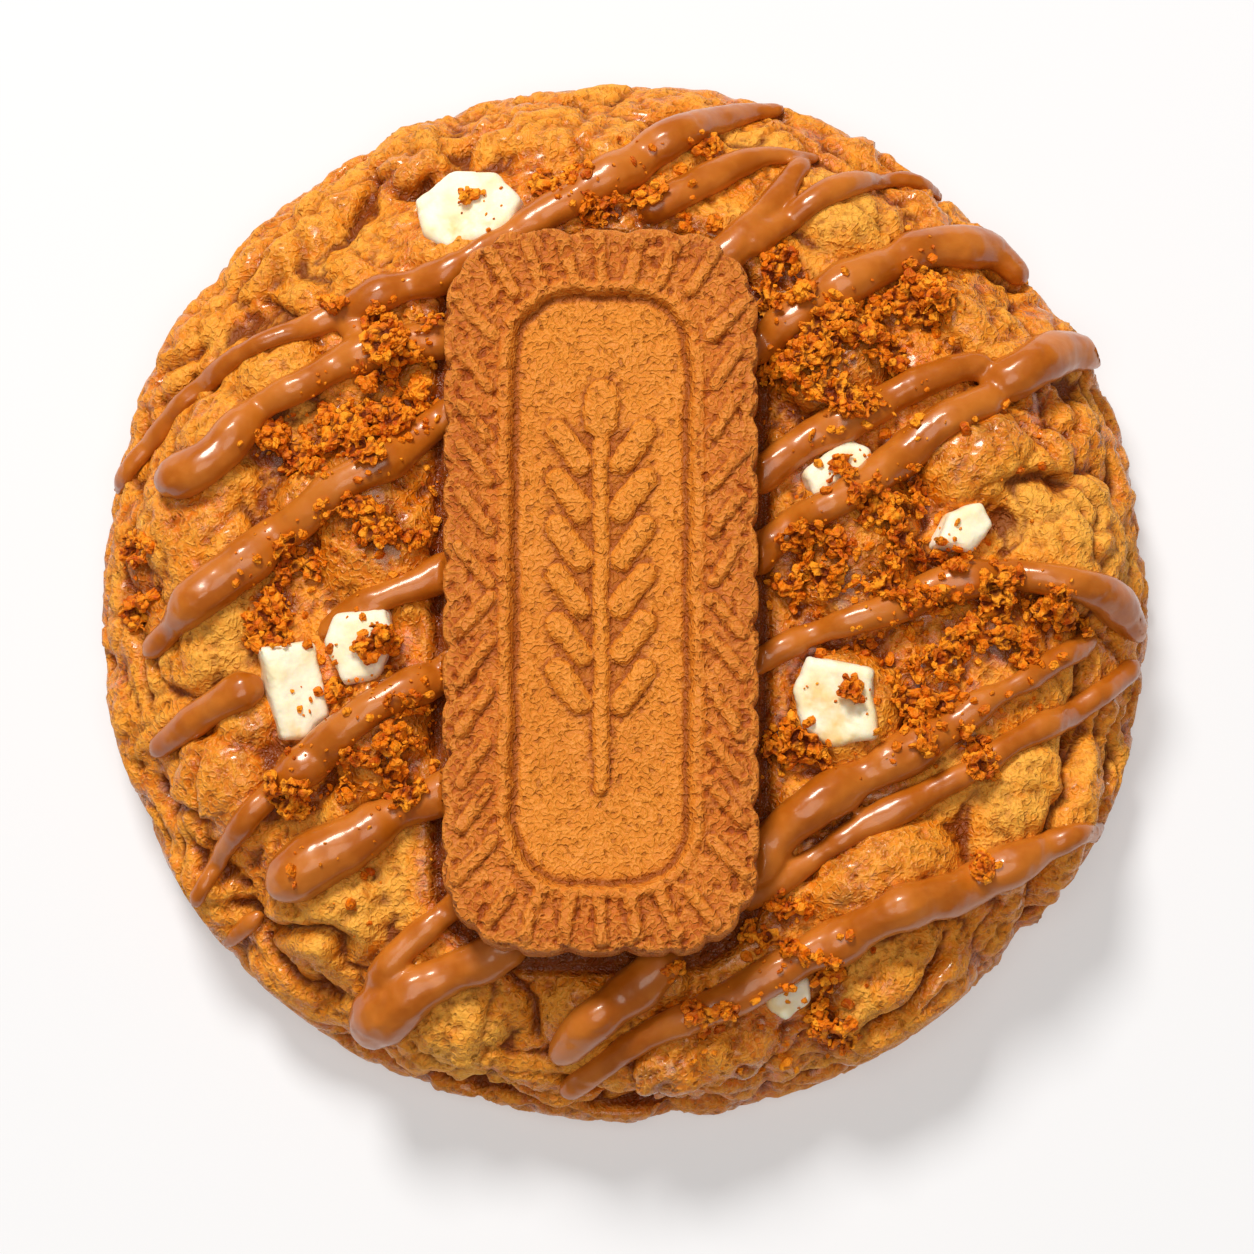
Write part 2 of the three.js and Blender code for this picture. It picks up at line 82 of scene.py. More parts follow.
def report(obj):
    triangles = sum(len(p.vertices) - 2 for p in obj.data.polygons)
    print(obj.name, "triangles:", triangles)


def join(objects, name):
    deselect()
    for obj in objects:
        obj.select_set(True)
    bpy.context.view_layer.objects.active = objects[0]
    bpy.ops.object.join()
    joined = bpy.context.view_layer.objects.active
    joined.name = joined.data.name = name
    return joined


def object_from(bm, name):
    mesh = bpy.data.meshes.new(name)
    bm.to_mesh(mesh)
    bm.free()
    obj = bpy.data.objects.new(name, mesh)
    bpy.context.scene.collection.objects.link(obj)
    return obj


def shade_smooth(obj):
    only(obj)
    bpy.ops.object.shade_smooth()


print("solids loaded:", len(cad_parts))

# %% [markdown]
# ## Working on points
# Baked dough has no flat panels, so most of the shaping below moves the points of a fine mesh. A
# Displace modifier could do it too. Code was chosen, because one value can then both move the
# surface and be kept as an attribute for its colour. All the points of a mesh are one array, in
# metres.

# %% Read and write points
def places(obj):
    flat = np.empty(len(obj.data.vertices) * 3, dtype=np.float32)
    obj.data.vertices.foreach_get("co", flat)
    return flat.reshape(-1, 3).astype(float)


def directions(obj):
    flat = np.empty(len(obj.data.vertices) * 3, dtype=np.float32)
    obj.data.vertices.foreach_get("normal", flat)
    return flat.reshape(-1, 3).astype(float)


def put_places(obj, points):
    obj.data.vertices.foreach_set("co", points.astype(np.float32).ravel())
    obj.data.update()


def put_attribute(obj, name, values):
    layer = obj.data.attributes.new(name, "FLOAT", "POINT")
    layer.data.foreach_set("value", np.asarray(values, dtype=np.float32))


def ramp(value, low, high):
    """0 below low, 1 above high, and a smooth step between them."""
    t = np.clip((value - low) / (high - low), 0, 1)
    return t * t * (3 - 2 * t)


print("a ramp from 0 to 1:", np.round(ramp(np.linspace(0, 1, 5), 0, 1), 2))

# %% [markdown]
# ## Noise on points
# Baked dough is rough at several scales at once. Blender's noise functions give one value for a
# place, and the helpers below run them over every point of a mesh. The size of a lump or a cell
# is given in millimetres, and a seed picks another part of the same endless noise.

# %% Noise over many points
def lumps(points, size, seed=0.0, octaves=2):
    """Soft noise from about -1 to 1, with finer noise added for each octave after the first."""
    shift = Vector((seed * 13.1, seed * 7.7, seed * 3.3))
    scale = 1 / (size * MM)
    return np.array([
        noise.fractal(Vector(p) * scale + shift, 1.0, 2.0, octaves) for p in points
    ])


def cells(points, size, seed=0.0):
    """How far each point is from the wall between two cells, from 0 on the wall to about 1."""
    shift = Vector((seed * 5.3, seed * 11.9, seed * 2.1))
    scale = 1 / (size * MM)
    found = []
    for p in points:
        near, _ = noise.voronoi(Vector(p) * scale + shift)
        found.append(near[1] - near[0])
    return np.array(found)


print("noise at three places:", np.round(lumps(np.eye(3) * 7 * MM, 5), 2))

# %% [markdown]
# ## Camera
# The photograph looks down from a little in front of the cookie, 82 degrees above the floor. A
# long lens from 600 mm away keeps its outline as round as the real one.

# %% Camera
TARGET = Vector((0.29, -2.95, 11.6)) * MM
ELEVATION, DISTANCE = math.radians(82), 600 * MM
PIXELS_PER_MM, FRAME_PIXELS = 10.25, 1254
SENSOR_WIDTH = 36

camera_data = bpy.data.cameras.new("camera")
camera = bpy.data.objects.new("camera", camera_data)
bpy.context.scene.collection.objects.link(camera)
camera.location = TARGET + DISTANCE * Vector((0, -math.cos(ELEVATION), math.sin(ELEVATION)))
camera.rotation_euler = (TARGET - camera.location).to_track_quat("-Z", "Y").to_euler()
camera_data.sensor_width = SENSOR_WIDTH
camera_data.lens = SENSOR_WIDTH * DISTANCE / (FRAME_PIXELS / PIXELS_PER_MM * MM)
camera_data.clip_start, camera_data.clip_end = 0.01, 10
bpy.context.scene.camera = camera
print("lens, mm:", round(camera_data.lens, 1))

# %% [markdown]
# ## The shape of the dough
# A thick cookie is scooped, not rolled, so it bakes into a pile of rounded lobes over a thin
# ragged foot. The foot is one circle pulled up row by row, and every lobe is a sunken ball.
# The balls and the foot become one skin by a voxel remesh, which leaves a natural crease wherever
# two of them meet.

# %% Where the dough's lobes are
# The foot: radius and height of each row, and how far it waves in and out, and up and down.
FOOT = [
    (47.4, 0, 0.4, 0), (51.0, 0.7, 0.5, 0.1), (52.0, 2.6, 0.5, 0.5), (51.5, 4.6, 0.5, 1.0),
    (49.8, 5.6, 1.1, 1.3), (50.8, 8.4, 0.6, 1.5),
]
WIDEST_ROW = 2
FAR_SWELL = 0.7
CROWN = {"radius": 49.2, "shoulder": 35, "rim": 10.5, "shoulder_top": 18.6, "top": 21.2}
LOBE_DEPTH = 8.5
CRAG = {
    "count": 110, "reach": 46, "small": 2.6, "large": 5.6, "proud": 1.3, "depth": 3.6, "seed": 11,
}

# Each lobe: x, y, half length, half width, turn in degrees, height of its top.
LOBES = [
    (-6, 43, 13, 6.5, -3, 16.6),
    (-20, 41.5, 7.5, 6, 25, 14.8),
    (-31, 33.5, 14, 6.5, 42, 15.2),
    (-40, 24.5, 12, 6, 52, 14.2),
    (-33, 21, 8, 6.5, 30, 19.8),
    (-37.5, 15, 8, 7, 60, 19.0),
    (-39, 5, 11, 8.5, 100, 19.4),
    (-46, 2, 5.5, 9, 0, 11.5),
    (-38.5, -6, 7.5, 6.5, 20, 18.6),
    (-37, -18, 8, 7.6, 60, 18.8),
    (-45, -12, 6, 9, 10, 12.2),
    (-39.5, -27.5, 7, 6, 130, 13.0),
    (-27, -30, 9, 8, 150, 19.2),
    (-31, -36, 8, 5, 140, 11.8),
    (-15.5, -39.5, 9.5, 8, 170, 17.0),
    (-4, -38.5, 7.5, 7.5, 0, 18.6),
    (7.5, -42.6, 12.5, 7, 5, 16.4),
    (24.5, -36, 10.5, 9, 35, 17.0),
    (24, -27.5, 11, 7, 25, 20.8),
    (37, -20.5, 9.5, 12, -25, 18.2),
    (46, -18, 5, 8, -18, 9.2),
    (41, 4.5, 8, 8.5, 0, 19.2),
    (33.5, 12, 9.5, 7.5, 20, 20.8),
    (42.5, 15, 5.5, 7, 20, 15.0),
    (32.5, 26, 13, 5.5, -38, 18.2),
    (40.5, 24, 6.5, 5.5, -45, 13.2),
    (21, 35.5, 9, 6.5, -20, 18.8),
    (28.5, 37, 8, 5, -35, 13.6),
    (14.5, 43.5, 8.5, 5.5, -15, 13.4),
    (5, 42, 8, 6, 5, 16.8),
    (-24, 6, 9, 14, 10, 22.0),
    (-23, -14, 8, 10, -8, 22.0),
    (22, 3, 9, 13, -6, 22.4),
    (21, -12, 8, 9, 8, 22.4),
    (20, 22, 8, 8, 0, 21.8),
    (-16, 33, 9, 6, 20, 19.8),
]
# The biscuit: its size, where its middle is, how high it sits and how its edge is fluted.
BISCUIT = {
    "width": 30, "length": 69.5, "thickness": 6.4, "corner": 8.5, "x": -2.2, "y": -1.4,
    "seat": 21.7, "scallops": 40,
}


def crown_height(distance):
    """Height of the dome under the lobes, for an array of distances from its middle."""
    c = CROWN
    dome = c["top"] - (c["top"] - c["shoulder_top"]) * (distance / c["shoulder"]) ** 2
    along = (distance - c["shoulder"]) / (c["radius"] - c["shoulder"])
    slope = c["shoulder_top"] + (c["rim"] - c["shoulder_top"]) * along ** 2
    height = np.where(distance < c["shoulder"], dome, slope)
    return np.where(distance > c["radius"], 0, height)


def mound_height(mound, depth, x, y):
    """Height of a lobe's upper half at x, y, and 0 beside it."""
    mx, my, long, wide, turn, top = mound
    c, s = math.cos(math.radians(turn)), math.sin(math.radians(turn))
    u = ((x - mx) * c + (y - my) * s) / long
    v = ((y - my) * c - (x - mx) * s) / wide
    left = 1 - u * u - v * v
    return np.where(left > 0, top - depth * (1 - np.sqrt(np.maximum(left, 0))), 0)


def lobe_height(x, y):
    height = crown_height(np.hypot(x, y))
    for lobe in LOBES:
        height = np.maximum(height, mound_height(lobe, LOBE_DEPTH, x, y))
    return height


print("lobes:", len(LOBES), "crown at its middle, mm:", float(crown_height(0.0)))

# %% [markdown]
# Smaller crags break up the lobes. The solid has them scattered by a seeded rule, and the same
# rule is repeated here, so that each crag lies where the solid's does. The dough keeps every
# third of them, because its noise makes the rest.

# %% Scatter the small crags
def random_from(seed):
    """Repeatable random numbers from 0 to 1, drawn as the solid's own crags were."""
    state = seed * 7919 + 17

    def draw():
        nonlocal state
        state = (state * 16807) % 2147483647
        return state / 2147483647

    return draw


def scatter_crags():
    """The crags of the solid, each like a lobe: x, y, half length, half width, turn, top."""
    draw = random_from(CRAG["seed"])
    made = []
    while len(made) < CRAG["count"]:
        distance = CRAG["reach"] * math.sqrt(0.12 + 0.88 * draw())
        angle = 2 * math.pi * draw()
        size = CRAG["small"] + (CRAG["large"] - CRAG["small"]) * draw() ** 2
        stretch = 0.65 + 0.35 * draw()
        turn = 180 * draw()
        x, y = distance * math.cos(angle), distance * math.sin(angle)
        beside_x = abs(x - BISCUIT["x"]) - BISCUIT["width"] / 2
        beside_y = abs(y - BISCUIT["y"]) - BISCUIT["length"] / 2
        if max(beside_x, beside_y) < 1:
            continue
        top = float(lobe_height(x, y)) + CRAG["proud"] * draw()
        made.append((x, y, size, size * stretch, turn, top))
    return made


CRAGS = scatter_crags()[::3]
print("crags:", len(CRAGS))

# %% [markdown]
# The circle of the foot is extruded upwards and scaled at each row, as a turned form would be by
# hand. Its rows are then waved in and out by a sum of three sines, because dough never spreads
# evenly.

# %% The foot and the crown under the lobes
AROUND = 160
CROWN_ROWS = (49.2, 46.5, 43, 38, 30, 20, 6)


def rim_wave(angle, phase):
    return (0.5 * np.sin(3 * angle + phase) + 0.3 * np.sin(7 * angle + 2.1 * phase)
            + 0.2 * np.sin(13 * angle + 3.7 * phase))


def row_radius(row, angle):
    """How far out a row of the foot reaches; the cookie spread a little more at its far side."""
    radius, _, wave, _ = FOOT[row]
    swell = FAR_SWELL * np.sin(angle) * (radius / CROWN["radius"]) ** 6
    return radius + swell + wave * rim_wave(angle, 1.3 + 0.35 * (row + 1))


def make_base():
    """The foot and the dome as a stack of rings, each extruded from the one below."""
    rows = [(r, z) for r, z, _, _ in FOOT]
    rows += [(r, float(crown_height(np.array(r)))) for r in CROWN_ROWS]
    deselect()
    bpy.ops.mesh.primitive_circle_add(
        vertices=AROUND, radius=rows[0][0] * MM, fill_type="NGON", location=(0, 0, 0))
    base = bpy.context.object
    base.name = "foot"
    bpy.ops.object.mode_set(mode="EDIT")
    bpy.ops.mesh.select_all(action="SELECT")
    for (r0, z0), (r1, z1) in zip(rows, rows[1:]):
        bpy.ops.mesh.extrude_region_move(
            TRANSFORM_OT_translate={"value": (0, 0, (z1 - z0) * MM)})
        bpy.ops.transform.resize(value=(r1 / r0, r1 / r0, 1), center_override=(0, 0, z1 * MM))
    bpy.ops.mesh.select_all(action="SELECT")
    bpy.ops.mesh.normals_make_consistent(inside=False)
    bpy.ops.object.mode_set(mode="OBJECT")
    points = places(base)
    row_of = np.arange(len(points)) // AROUND
    for row, (_, _, _, rise) in enumerate(FOOT):
        here = row_of == row
        angle = np.arctan2(points[here, 1], points[here, 0])
        radius = row_radius(row, angle) * MM
        points[here, 0], points[here, 1] = radius * np.cos(angle), radius * np.sin(angle)
        points[here, 2] += rise * rim_wave(angle + 1.1, 2.4) * MM
    put_places(base, points)
    return base


base = make_base()
report(base)

# %% [markdown]
# One ball is made, and every lobe and crag is a scaled and turned copy of its mesh. Metaballs
# could melt them together as well, but a remesh keeps the sharp valleys that real dough has. The
# flat underside is never seen, so its small faces become a single one.

# %% The lobes, then one skin over everything
# Each piece's voxels are as fine as its limit of 200,000 triangles allows.
DOUGH_VOXEL = 0.475


def flatten_underside(obj, below):
    """Faces that look down and lie lower than that become a single face."""
    bm = bmesh.new()
    bm.from_mesh(obj.data)
    low = [face for face in bm.faces
           if face.calc_center_median().z < below * MM and face.normal.z < -0.99]
    bmesh.ops.delete(bm, geom=low, context="FACES")
    rim = [edge for edge in bm.edges if edge.is_boundary]
    bmesh.ops.holes_fill(bm, edges=rim, sides=0)
    bm.to_mesh(obj.data)
    bm.free()


def make_lobes():
    deselect()
    bpy.ops.mesh.primitive_ico_sphere_add(subdivisions=4, radius=MM)
    ball = bpy.context.object
    bm = bmesh.new()
    for mounds, depth in ((LOBES, LOBE_DEPTH), (CRAGS, CRAG["depth"])):
        for x, y, long, wide, turn, top in mounds:
            first = len(bm.verts)
            bm.from_mesh(ball.data)
            bm.verts.ensure_lookup_table()
            place = (Matrix.Translation(Vector((x, y, top - depth)) * MM)
                     @ Matrix.Rotation(math.radians(turn), 4, "Z")
                     @ Matrix.Diagonal((long, wide, depth, 1)))
            bmesh.ops.transform(bm, matrix=place, verts=bm.verts[first:])
    bpy.data.objects.remove(ball)
    return object_from(bm, "lobes")


def hold_within_rim(points, room):
    """Points past the rim of the foot are pressed in softly, over the last room millimetres."""
    x, y, _ = points.T / MM
    distance, angle = np.hypot(x, y), np.arctan2(y, x)
    start = row_radius(WIDEST_ROW, angle) - room
    over = np.maximum(distance - start, 0)
    kept = np.where(over > 0, start + room * np.tanh(over / room), distance)
    shrink = kept / np.maximum(distance, 1e-6)
    points[:, 0] *= shrink
    points[:, 1] *= shrink
    return points


dough = join([base, make_lobes()], "dough")
finish_modifier(dough, "REMESH", mode="VOXEL", voxel_size=DOUGH_VOXEL * MM)
finish_modifier(dough, "SMOOTH", factor=0.5, iterations=9)
flatten_underside(dough, 0.25)
put_places(dough, hold_within_rim(places(dough), 1.6))
report(dough)

# %% [markdown]
# ## Crags, cracks and grain
# Real crust breaks into cells as it dries, wrinkles between them and is grainy all over. Each
# point moves along its normal by several noises: cracks on cell walls, lumps of a few
# millimetres and grain of about one. Some places crack and others stay smooth, so a broad noise
# decides where.
#
# The work below often asks how a point lies: how far from the biscuit, or how far it stands out
# of the surface round it. The second is measured against a copy whose points were smoothed.

# %% Measure the surface
def smoothed(obj, points, rounds):
    """Points moved to the mean of their neighbours, some rounds over."""
    flat = np.empty(len(obj.data.edges) * 2, dtype=np.int32)
    obj.data.edges.foreach_get("vertices", flat)
    a, b = flat.reshape(-1, 2).T
    count = np.bincount(a, minlength=len(points)) + np.bincount(b, minlength=len(points))
    count = np.maximum(count, 1)
    for _ in range(rounds):
        mean = np.empty_like(points)
        for axis in range(3):
            total = np.bincount(a, points[b, axis], len(points))
            total += np.bincount(b, points[a, axis], len(points))
            mean[:, axis] = total / count
        points = mean
    return points


def along_normals(shift, normals):
    """How far each shift goes along its normal, in millimetres."""
    return np.einsum("ij,ij->i", shift, normals) / MM


def sunk_below(obj, points, near_rounds, broad_rounds):
    """How far each point lies under its close surround, and under a wider one."""
    facing = directions(obj)
    near = smoothed(obj, points, near_rounds)
    broad = smoothed(obj, near, broad_rounds)
    return along_normals(near - points, facing), along_normals(broad - points, facing)


def outside_of(x, y, width, length, corner):
    """Distance outside a rounded rectangle about the origin; below 0 is inside it."""
    qx = np.abs(x) - (width / 2 - corner)
    qy = np.abs(y) - (length / 2 - corner)
    outside = np.hypot(np.maximum(qx, 0), np.maximum(qy, 0))
    return outside + np.minimum(np.maximum(qx, qy), 0) - corner


def beside_biscuit(x, y):
    """Distance in millimetres outside the biscuit's outline; below 0 is under the biscuit."""
    return outside_of(x - BISCUIT["x"], y - BISCUIT["y"],
                      BISCUIT["width"], BISCUIT["length"], BISCUIT["corner"])


def keep_in_box(points, name):
    """No point leaves the box of that solid."""
    low, high = (np.array(corner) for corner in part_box(name))
    return np.clip(points, low, high)


print("from the biscuit to the rim at the right, mm:", round(float(beside_biscuit(52.0, 0.0)), 1))

# %% [markdown]
# Round its sides the soft dough slumped over itself in long folds, which no noise would place.
# Each is a line along its valley, as it could be drawn with a crease brush. The layers that slid
# over each other also left ledges all round, one above the other, and those can be a formula.

# %% Long folds and ledges
def ledges(mm, distance):
    """Layers that slid over each other on the side: each swells out, then drops back sharply."""
    wander = 1.5 * lumps(mm * MM, 14, 9) + 0.5 * lumps(mm * MM, 4, 10)
    layer = (mm[:, 2] + 0.35 * distance) / 3.3 + wander
    along = layer - np.floor(layer)
    swell = np.sin(math.pi * np.minimum(along / 0.8, 1)) ** 0.6
    return swell - 0.6


# Long folds, where the dough slumped over itself: depth, half width, and its way in x and y.
FOLDS = [
    (2.6, 1.5, [(45.9, -0.4), (45.4, -5.4), (44.8, -10.2), (44.2, -15.0), (43.0, -18.9),
                (41.9, -22.7), (41.1, -26.5), (40.2, -29.7), (38.7, -32.9), (36.2, -35.5)]),
    (2.4, 1.3, [(31.7, -32.3), (31.0, -35.0), (29.7, -37.8), (28.0, -40.1), (24.9, -42.6),
                (22.0, -44.2)]),
    (1.4, 0.9, [(48.6, -4.2), (48.4, -9.9), (47.6, -15.7), (46.6, -20.5), (45.0, -25.2),
                (42.9, -29.6), (40.1, -33.3), (36.8, -36.9), (32.8, -39.9), (28.8, -42.3)]),
    (2.2, 1.3, [(-7.6, -46.8), (-4.8, -48.5), (-0.4, -49.4), (4.5, -49.6), (9.3, -48.9),
                (13.7, -47.4), (16.6, -45.4), (17.6, -42.8)]),
    (2.4, 1.4, [(-38.2, -29.9), (-35.2, -32.4), (-31.3, -33.5), (-28.8, -33.6),
                (-26.9, -34.8), (-25.3, -37.4)]),
    (1.5, 1.0, [(-36.9, -31.8), (-34.0, -35.2), (-30.5, -37.7), (-27.1, -40.0)]),
    (1.8, 1.1, [(-21.9, -43.6), (-18.9, -45.9), (-14.5, -47.3), (-10.1, -47.9), (-6.2, -48.6)]),
    (1.7, 0.9, [(-11.8, -36.0), (-10.5, -38.0), (-9.0, -40.1), (-8.3, -42.6), (-8.1, -44.3)]),
    (1.3, 0.9, [(-19.0, 45.2), (-22.2, 44.3), (-25.0, 42.4), (-28.4, 40.7), (-31.6, 38.5),
                (-34.1, 35.7), (-36.0, 32.8), (-37.9, 29.9), (-40.4, 27.2)]),
    (1.0, 0.9, [(-22.9, 46.4), (-26.8, 44.2), (-30.8, 41.6), (-34.0, 38.2), (-37.0, 35.0),
                (-39.6, 31.8), (-42.0, 28.6), (-44.3, 25.2)]),
    (1.3, 0.8, [(-24.6, 43.2), (-25.1, 40.1), (-26.3, 37.2), (-27.4, 34.1), (-28.8, 33.6)]),
    (1.7, 0.9, [(-18.5, 41.5), (-21.0, 39.8), (-23.6, 39.8)]),
    (1.6, 1.0, [(-40.3, 24.4), (-42.8, 23.9), (-45.1, 22.6), (-46.7, 20.5)]),
    (1.2, 0.8, [(-35.5, 29.3), (-33.0, 27.4), (-31.5, 26.3), (-29.7, 26.5)]),
    (0.9, 0.9, [(22.3, 38.2), (25.0, 35.9), (27.4, 32.4)]),
    (1.9, 1.0, [(31.3, 41.8), (31.6, 39.8), (32.9, 37.8), (34.1, 36.3)]),
    (2.0, 1.1, [(35.6, 32.7), (37.7, 31.3), (40.1, 31.3)]),
    (1.7, 0.8, [(37.6, 17.3), (39.4, 15.4), (41.2, 13.6), (43.1, 12.1)]),
    (1.3, 0.9, [(36.3, 9.7), (40.3, 10.6), (44.0, 10.2), (46.0, 8.4), (46.4, 4.7), (46.0, 0.6)]),
    (1.5, 1.0, [(-10.3, 48.6), (-12.3, 46.6), (-14.2, 45.7), (-17.0, 43.6)]),
    (1.1, 0.9, [(-6.4, 50.0), (-2.4, 48.1), (2.6, 47.4), (7.6, 48.5)]),
    (1.3, 1.0, [(-49.0, 4.3), (-48.0, -0.9), (-47.2, -5.9), (-46.0, -11.9)]),
    (1.6, 1.1, [(-46.4, -17.5), (-44.1, -20.8), (-41.2, -23.2), (-38.3, -24.2)]),
]


def fold_depth(points):
    """How deep the nearest long fold cuts at each point; a fold runs out softly at its ends."""
    x = points[:, 0] / MM + 0.8 * lumps(points, 4.5, 14)
    y = points[:, 1] / MM + 0.8 * lumps(points, 4.5, 15)
    cut = np.zeros(len(points))
    for depth, wide, way in FOLDS:
        lengths = [math.dist(a, b) for a, b in zip(way, way[1:])]
        whole, before = sum(lengths), 0.0
        for (x0, y0), (x1, y1), length in zip(way, way[1:], lengths):
            t = ((x - x0) * (x1 - x0) + (y - y0) * (y1 - y0)) / length ** 2
            t = np.clip(t, 0, 1)
            apart = np.hypot(x - x0 - t * (x1 - x0), y - y0 - t * (y1 - y0))
            along = (before + t * length) / whole
            run_out = ramp(np.minimum(along, 1 - along), -0.03, 0.2)
            cut = np.maximum(cut, depth * run_out * (1 - np.minimum(apart / wide, 1)) ** 1.4)
            before += length
    return cut


print("long folds:", len(FOLDS))

# %% [markdown]
# All the noises, ledges and folds are summed up and each point is moved once. The lobes stand
# out a little further and the valleys between them are cut deeper, as an oven does it: the top of
# a lobe sets first. The biscuit's seat is then pressed flat, with a gap round it for its shadow.

# %% Sculpt the dough
# How far each kind of roughness moves the crust, in millimetres.
CRUST = {
    "wide_crack": 0.45, "fine_crack": 0.22, "lump": 0.30, "wrinkle": 0.13, "grain": 0.14,
    "pit": 0.28, "ledge": 0.7, "lobe": 0.9,
}
SEAT_CLEARANCE = 0.35
SEAT_GAP = 1.2


def crust_move(points, normals):
    """How far each point goes along its normal. Each mask is 0 where that roughness is absent."""
    mm = points / MM
    distance = np.hypot(mm[:, 0], mm[:, 1])
    upper = ramp(mm[:, 2], 0.3, 2.0)
    side = ramp(distance, 40.5, 46) * upper
    warp = np.stack([lumps(points, 5, s, 1) for s in (1, 2, 3)], axis=1) * 2.0 * MM
    bent = points + warp
    cracked = ramp(lumps(points, 15, 4), -0.12, 0.28)
    cracked = np.maximum(cracked, 0.8 * ramp(distance, 41, 47))
    wide_crack = 1 - ramp(cells(bent, 9.5, 1), 0.0, 0.12)
    fine_crack = 1 - ramp(cells(bent, 3.8, 2), 0.0, 0.16)
    pitted = ramp(lumps(points, 9, 7), 0.0, 0.35)
    wrinkles = 1 - np.abs(lumps(points, 1.9, 12, 1)) * 3
    standing = along_normals(points - smoothed(dough, points, 60), normals)
    move = -CRUST["wide_crack"] * wide_crack * cracked
    move -= CRUST["fine_crack"] * fine_crack * pitted
    move += CRUST["lump"] * lumps(points, 6.5, 5)
    move += CRUST["wrinkle"] * np.maximum(wrinkles, -0.6) * (0.4 + 0.6 * pitted)
    move += CRUST["grain"] * lumps(points, 1.2, 6)
    move -= CRUST["pit"] * ramp(lumps(points, 1.3, 13), 0.32, 0.5)
    move += CRUST["ledge"] * ledges(mm, distance) * side * ramp(mm[:, 2], 1.5, 5)
    move += CRUST["lobe"] * np.clip(standing, -1.2, 0.5) * (1 - 0.6 * side)
    move -= fold_depth(points)
    return move * upper


def press_seat(points):
    """The dough is flat under the biscuit and sinks into a shadowed gap all round it."""
    x, y, z = points.T / MM
    apart = beside_biscuit(x, y)
    lowered = np.minimum(z, BISCUIT["seat"] - SEAT_CLEARANCE)
    points[:, 2] = MM * np.where(apart < SEAT_CLEARANCE, lowered, z)
    gap = (1 - ramp(apart, 0.3, 1.9)) * ramp(z, 15, 19)
    points[:, 2] -= np.where(apart > SEAT_CLEARANCE, SEAT_GAP * gap * MM, 0)


def sculpt_dough():
    points, normals = places(dough), directions(dough)
    points += normals * (crust_move(points, normals) * MM)[:, None]
    press_seat(points)
    points = keep_in_box(hold_within_rim(points, 0.4), "cookie")
    put_places(dough, points)
    return points


dough_points = sculpt_dough()
shade_smooth(dough)
print("dough, mm:", np.round((dough_points.max(0) - dough_points.min(0)) / MM, 1))

# %% [markdown]
# ## Where the crust is pale, golden or soaked
# The dough isn't one colour. Its proud lobes stay pale and dusty, its low parts and the foot are
# browner, and it is darker and glossy where butter and spread soaked in. Shade is painted dark in
# its creases and pits and in the gap round the biscuit, and highlight lighter where it stands out.
# Paint in an image would do, but it would need an unwrapped mesh, so three attributes on the
# points carry this to the material: `soak` from 0, pale and dry, to 1, soaked; `hollow` for the
# painted shade in creases, pits and the gap round the biscuit; `proud` for what stands out,
# painted paler, partly as highlight. A few zones say how soaked each part of the cookie is, and
# noise blurs them.

# %% Colour attributes of the dough
# Each zone: x, y, reach, how soaked it is.
ZONES = [
    (-37, 17, 7, 0.2), (-38, -5, 6, 0.1), (-26, -30, 8, 0.05), (-15, -42, 7, 0.1),
    (24.5, -36, 9, 0.15), (37, -20, 10, 0.15), (41, 5, 9, 0.0), (21, 37, 6, 0.1),
    (8, 43, 6, 0.3), (-31, 33, 10, 0.38), (-6, 45, 10, 0.45), (-20, 42, 7, 0.35),
    (-40, 24, 8, 0.42), (-46, -10, 7, 0.4), (-39, 6, 7, 0.5), (-37, -18, 7, 0.7),
    (33, 12, 7, 0.7), (24.5, -27, 8, 0.75), (28, -9, 6, 0.62), (-24, 6, 8, 0.85),
    (-22, -12, 8, 0.8), (21, -3, 8, 0.85), (20, 20, 9, 0.8), (7, -46, 9, 0.65),
    (33, 28, 7, 0.45), (43, 16, 6, 0.5), (47, -12, 7, 0.45), (42, -29, 7, 0.7),
    (-48, 3, 5, 0.35), (-33, -37, 6, 0.5), (30, -42, 8, 0.6), (15, 46, 7, 0.45),
]


def colour_attributes():
    x, y, z = dough_points.T / MM
    weight = np.full(len(x), 0.12)
    soak = weight * 0.45
    for zx, zy, reach, value in ZONES:
        nearness = np.exp(-((x - zx) ** 2 + (y - zy) ** 2) / (0.55 * reach) ** 2)
        soak += nearness * value
        weight += nearness
    soak /= weight
    soak += 0.28 * lumps(dough_points, 6, 21) + 0.16 * lumps(dough_points, 2.2, 22)
    beside = beside_biscuit(x, y)
    soak = np.maximum(soak, 0.9 * (1 - ramp(beside, 0.5, 5)) + 0.2 * lumps(dough_points, 3, 23))
    soak = np.maximum(soak, 0.62 * (1 - ramp(z, 4.5, 8.5)))
    fine, deep = sunk_below(dough, dough_points, 5, 40)
    # hollow: painted shade, darker where the dough lies lower than its surround, in creases and
    # pits.
    hollow = ramp(fine, 0.02, 0.13) * 0.5 + ramp(deep, 0.12, 0.8)
    # Painted shadow in the gap all round the biscuit.
    hollow = np.maximum(hollow, 0.95 * (1 - ramp(beside, 0.3, 2.4)))
    # proud: paler where the dough stands out, partly paler dry crust and partly painted highlight.
    proud = ramp(-fine, 0.03, 0.12) * 0.5 + ramp(-deep, 0.1, 0.5) * 0.5
    put_attribute(dough, "soak", np.clip(soak, 0, 1))
    put_attribute(dough, "hollow", np.clip(hollow, 0, 1))
    put_attribute(dough, "proud", np.clip(proud, 0, 1))
    print("soak, mean:", round(float(np.clip(soak, 0, 1).mean()), 2),
          "hollow, mean:", round(float(np.clip(hollow, 0, 1).mean()), 2))


colour_attributes()

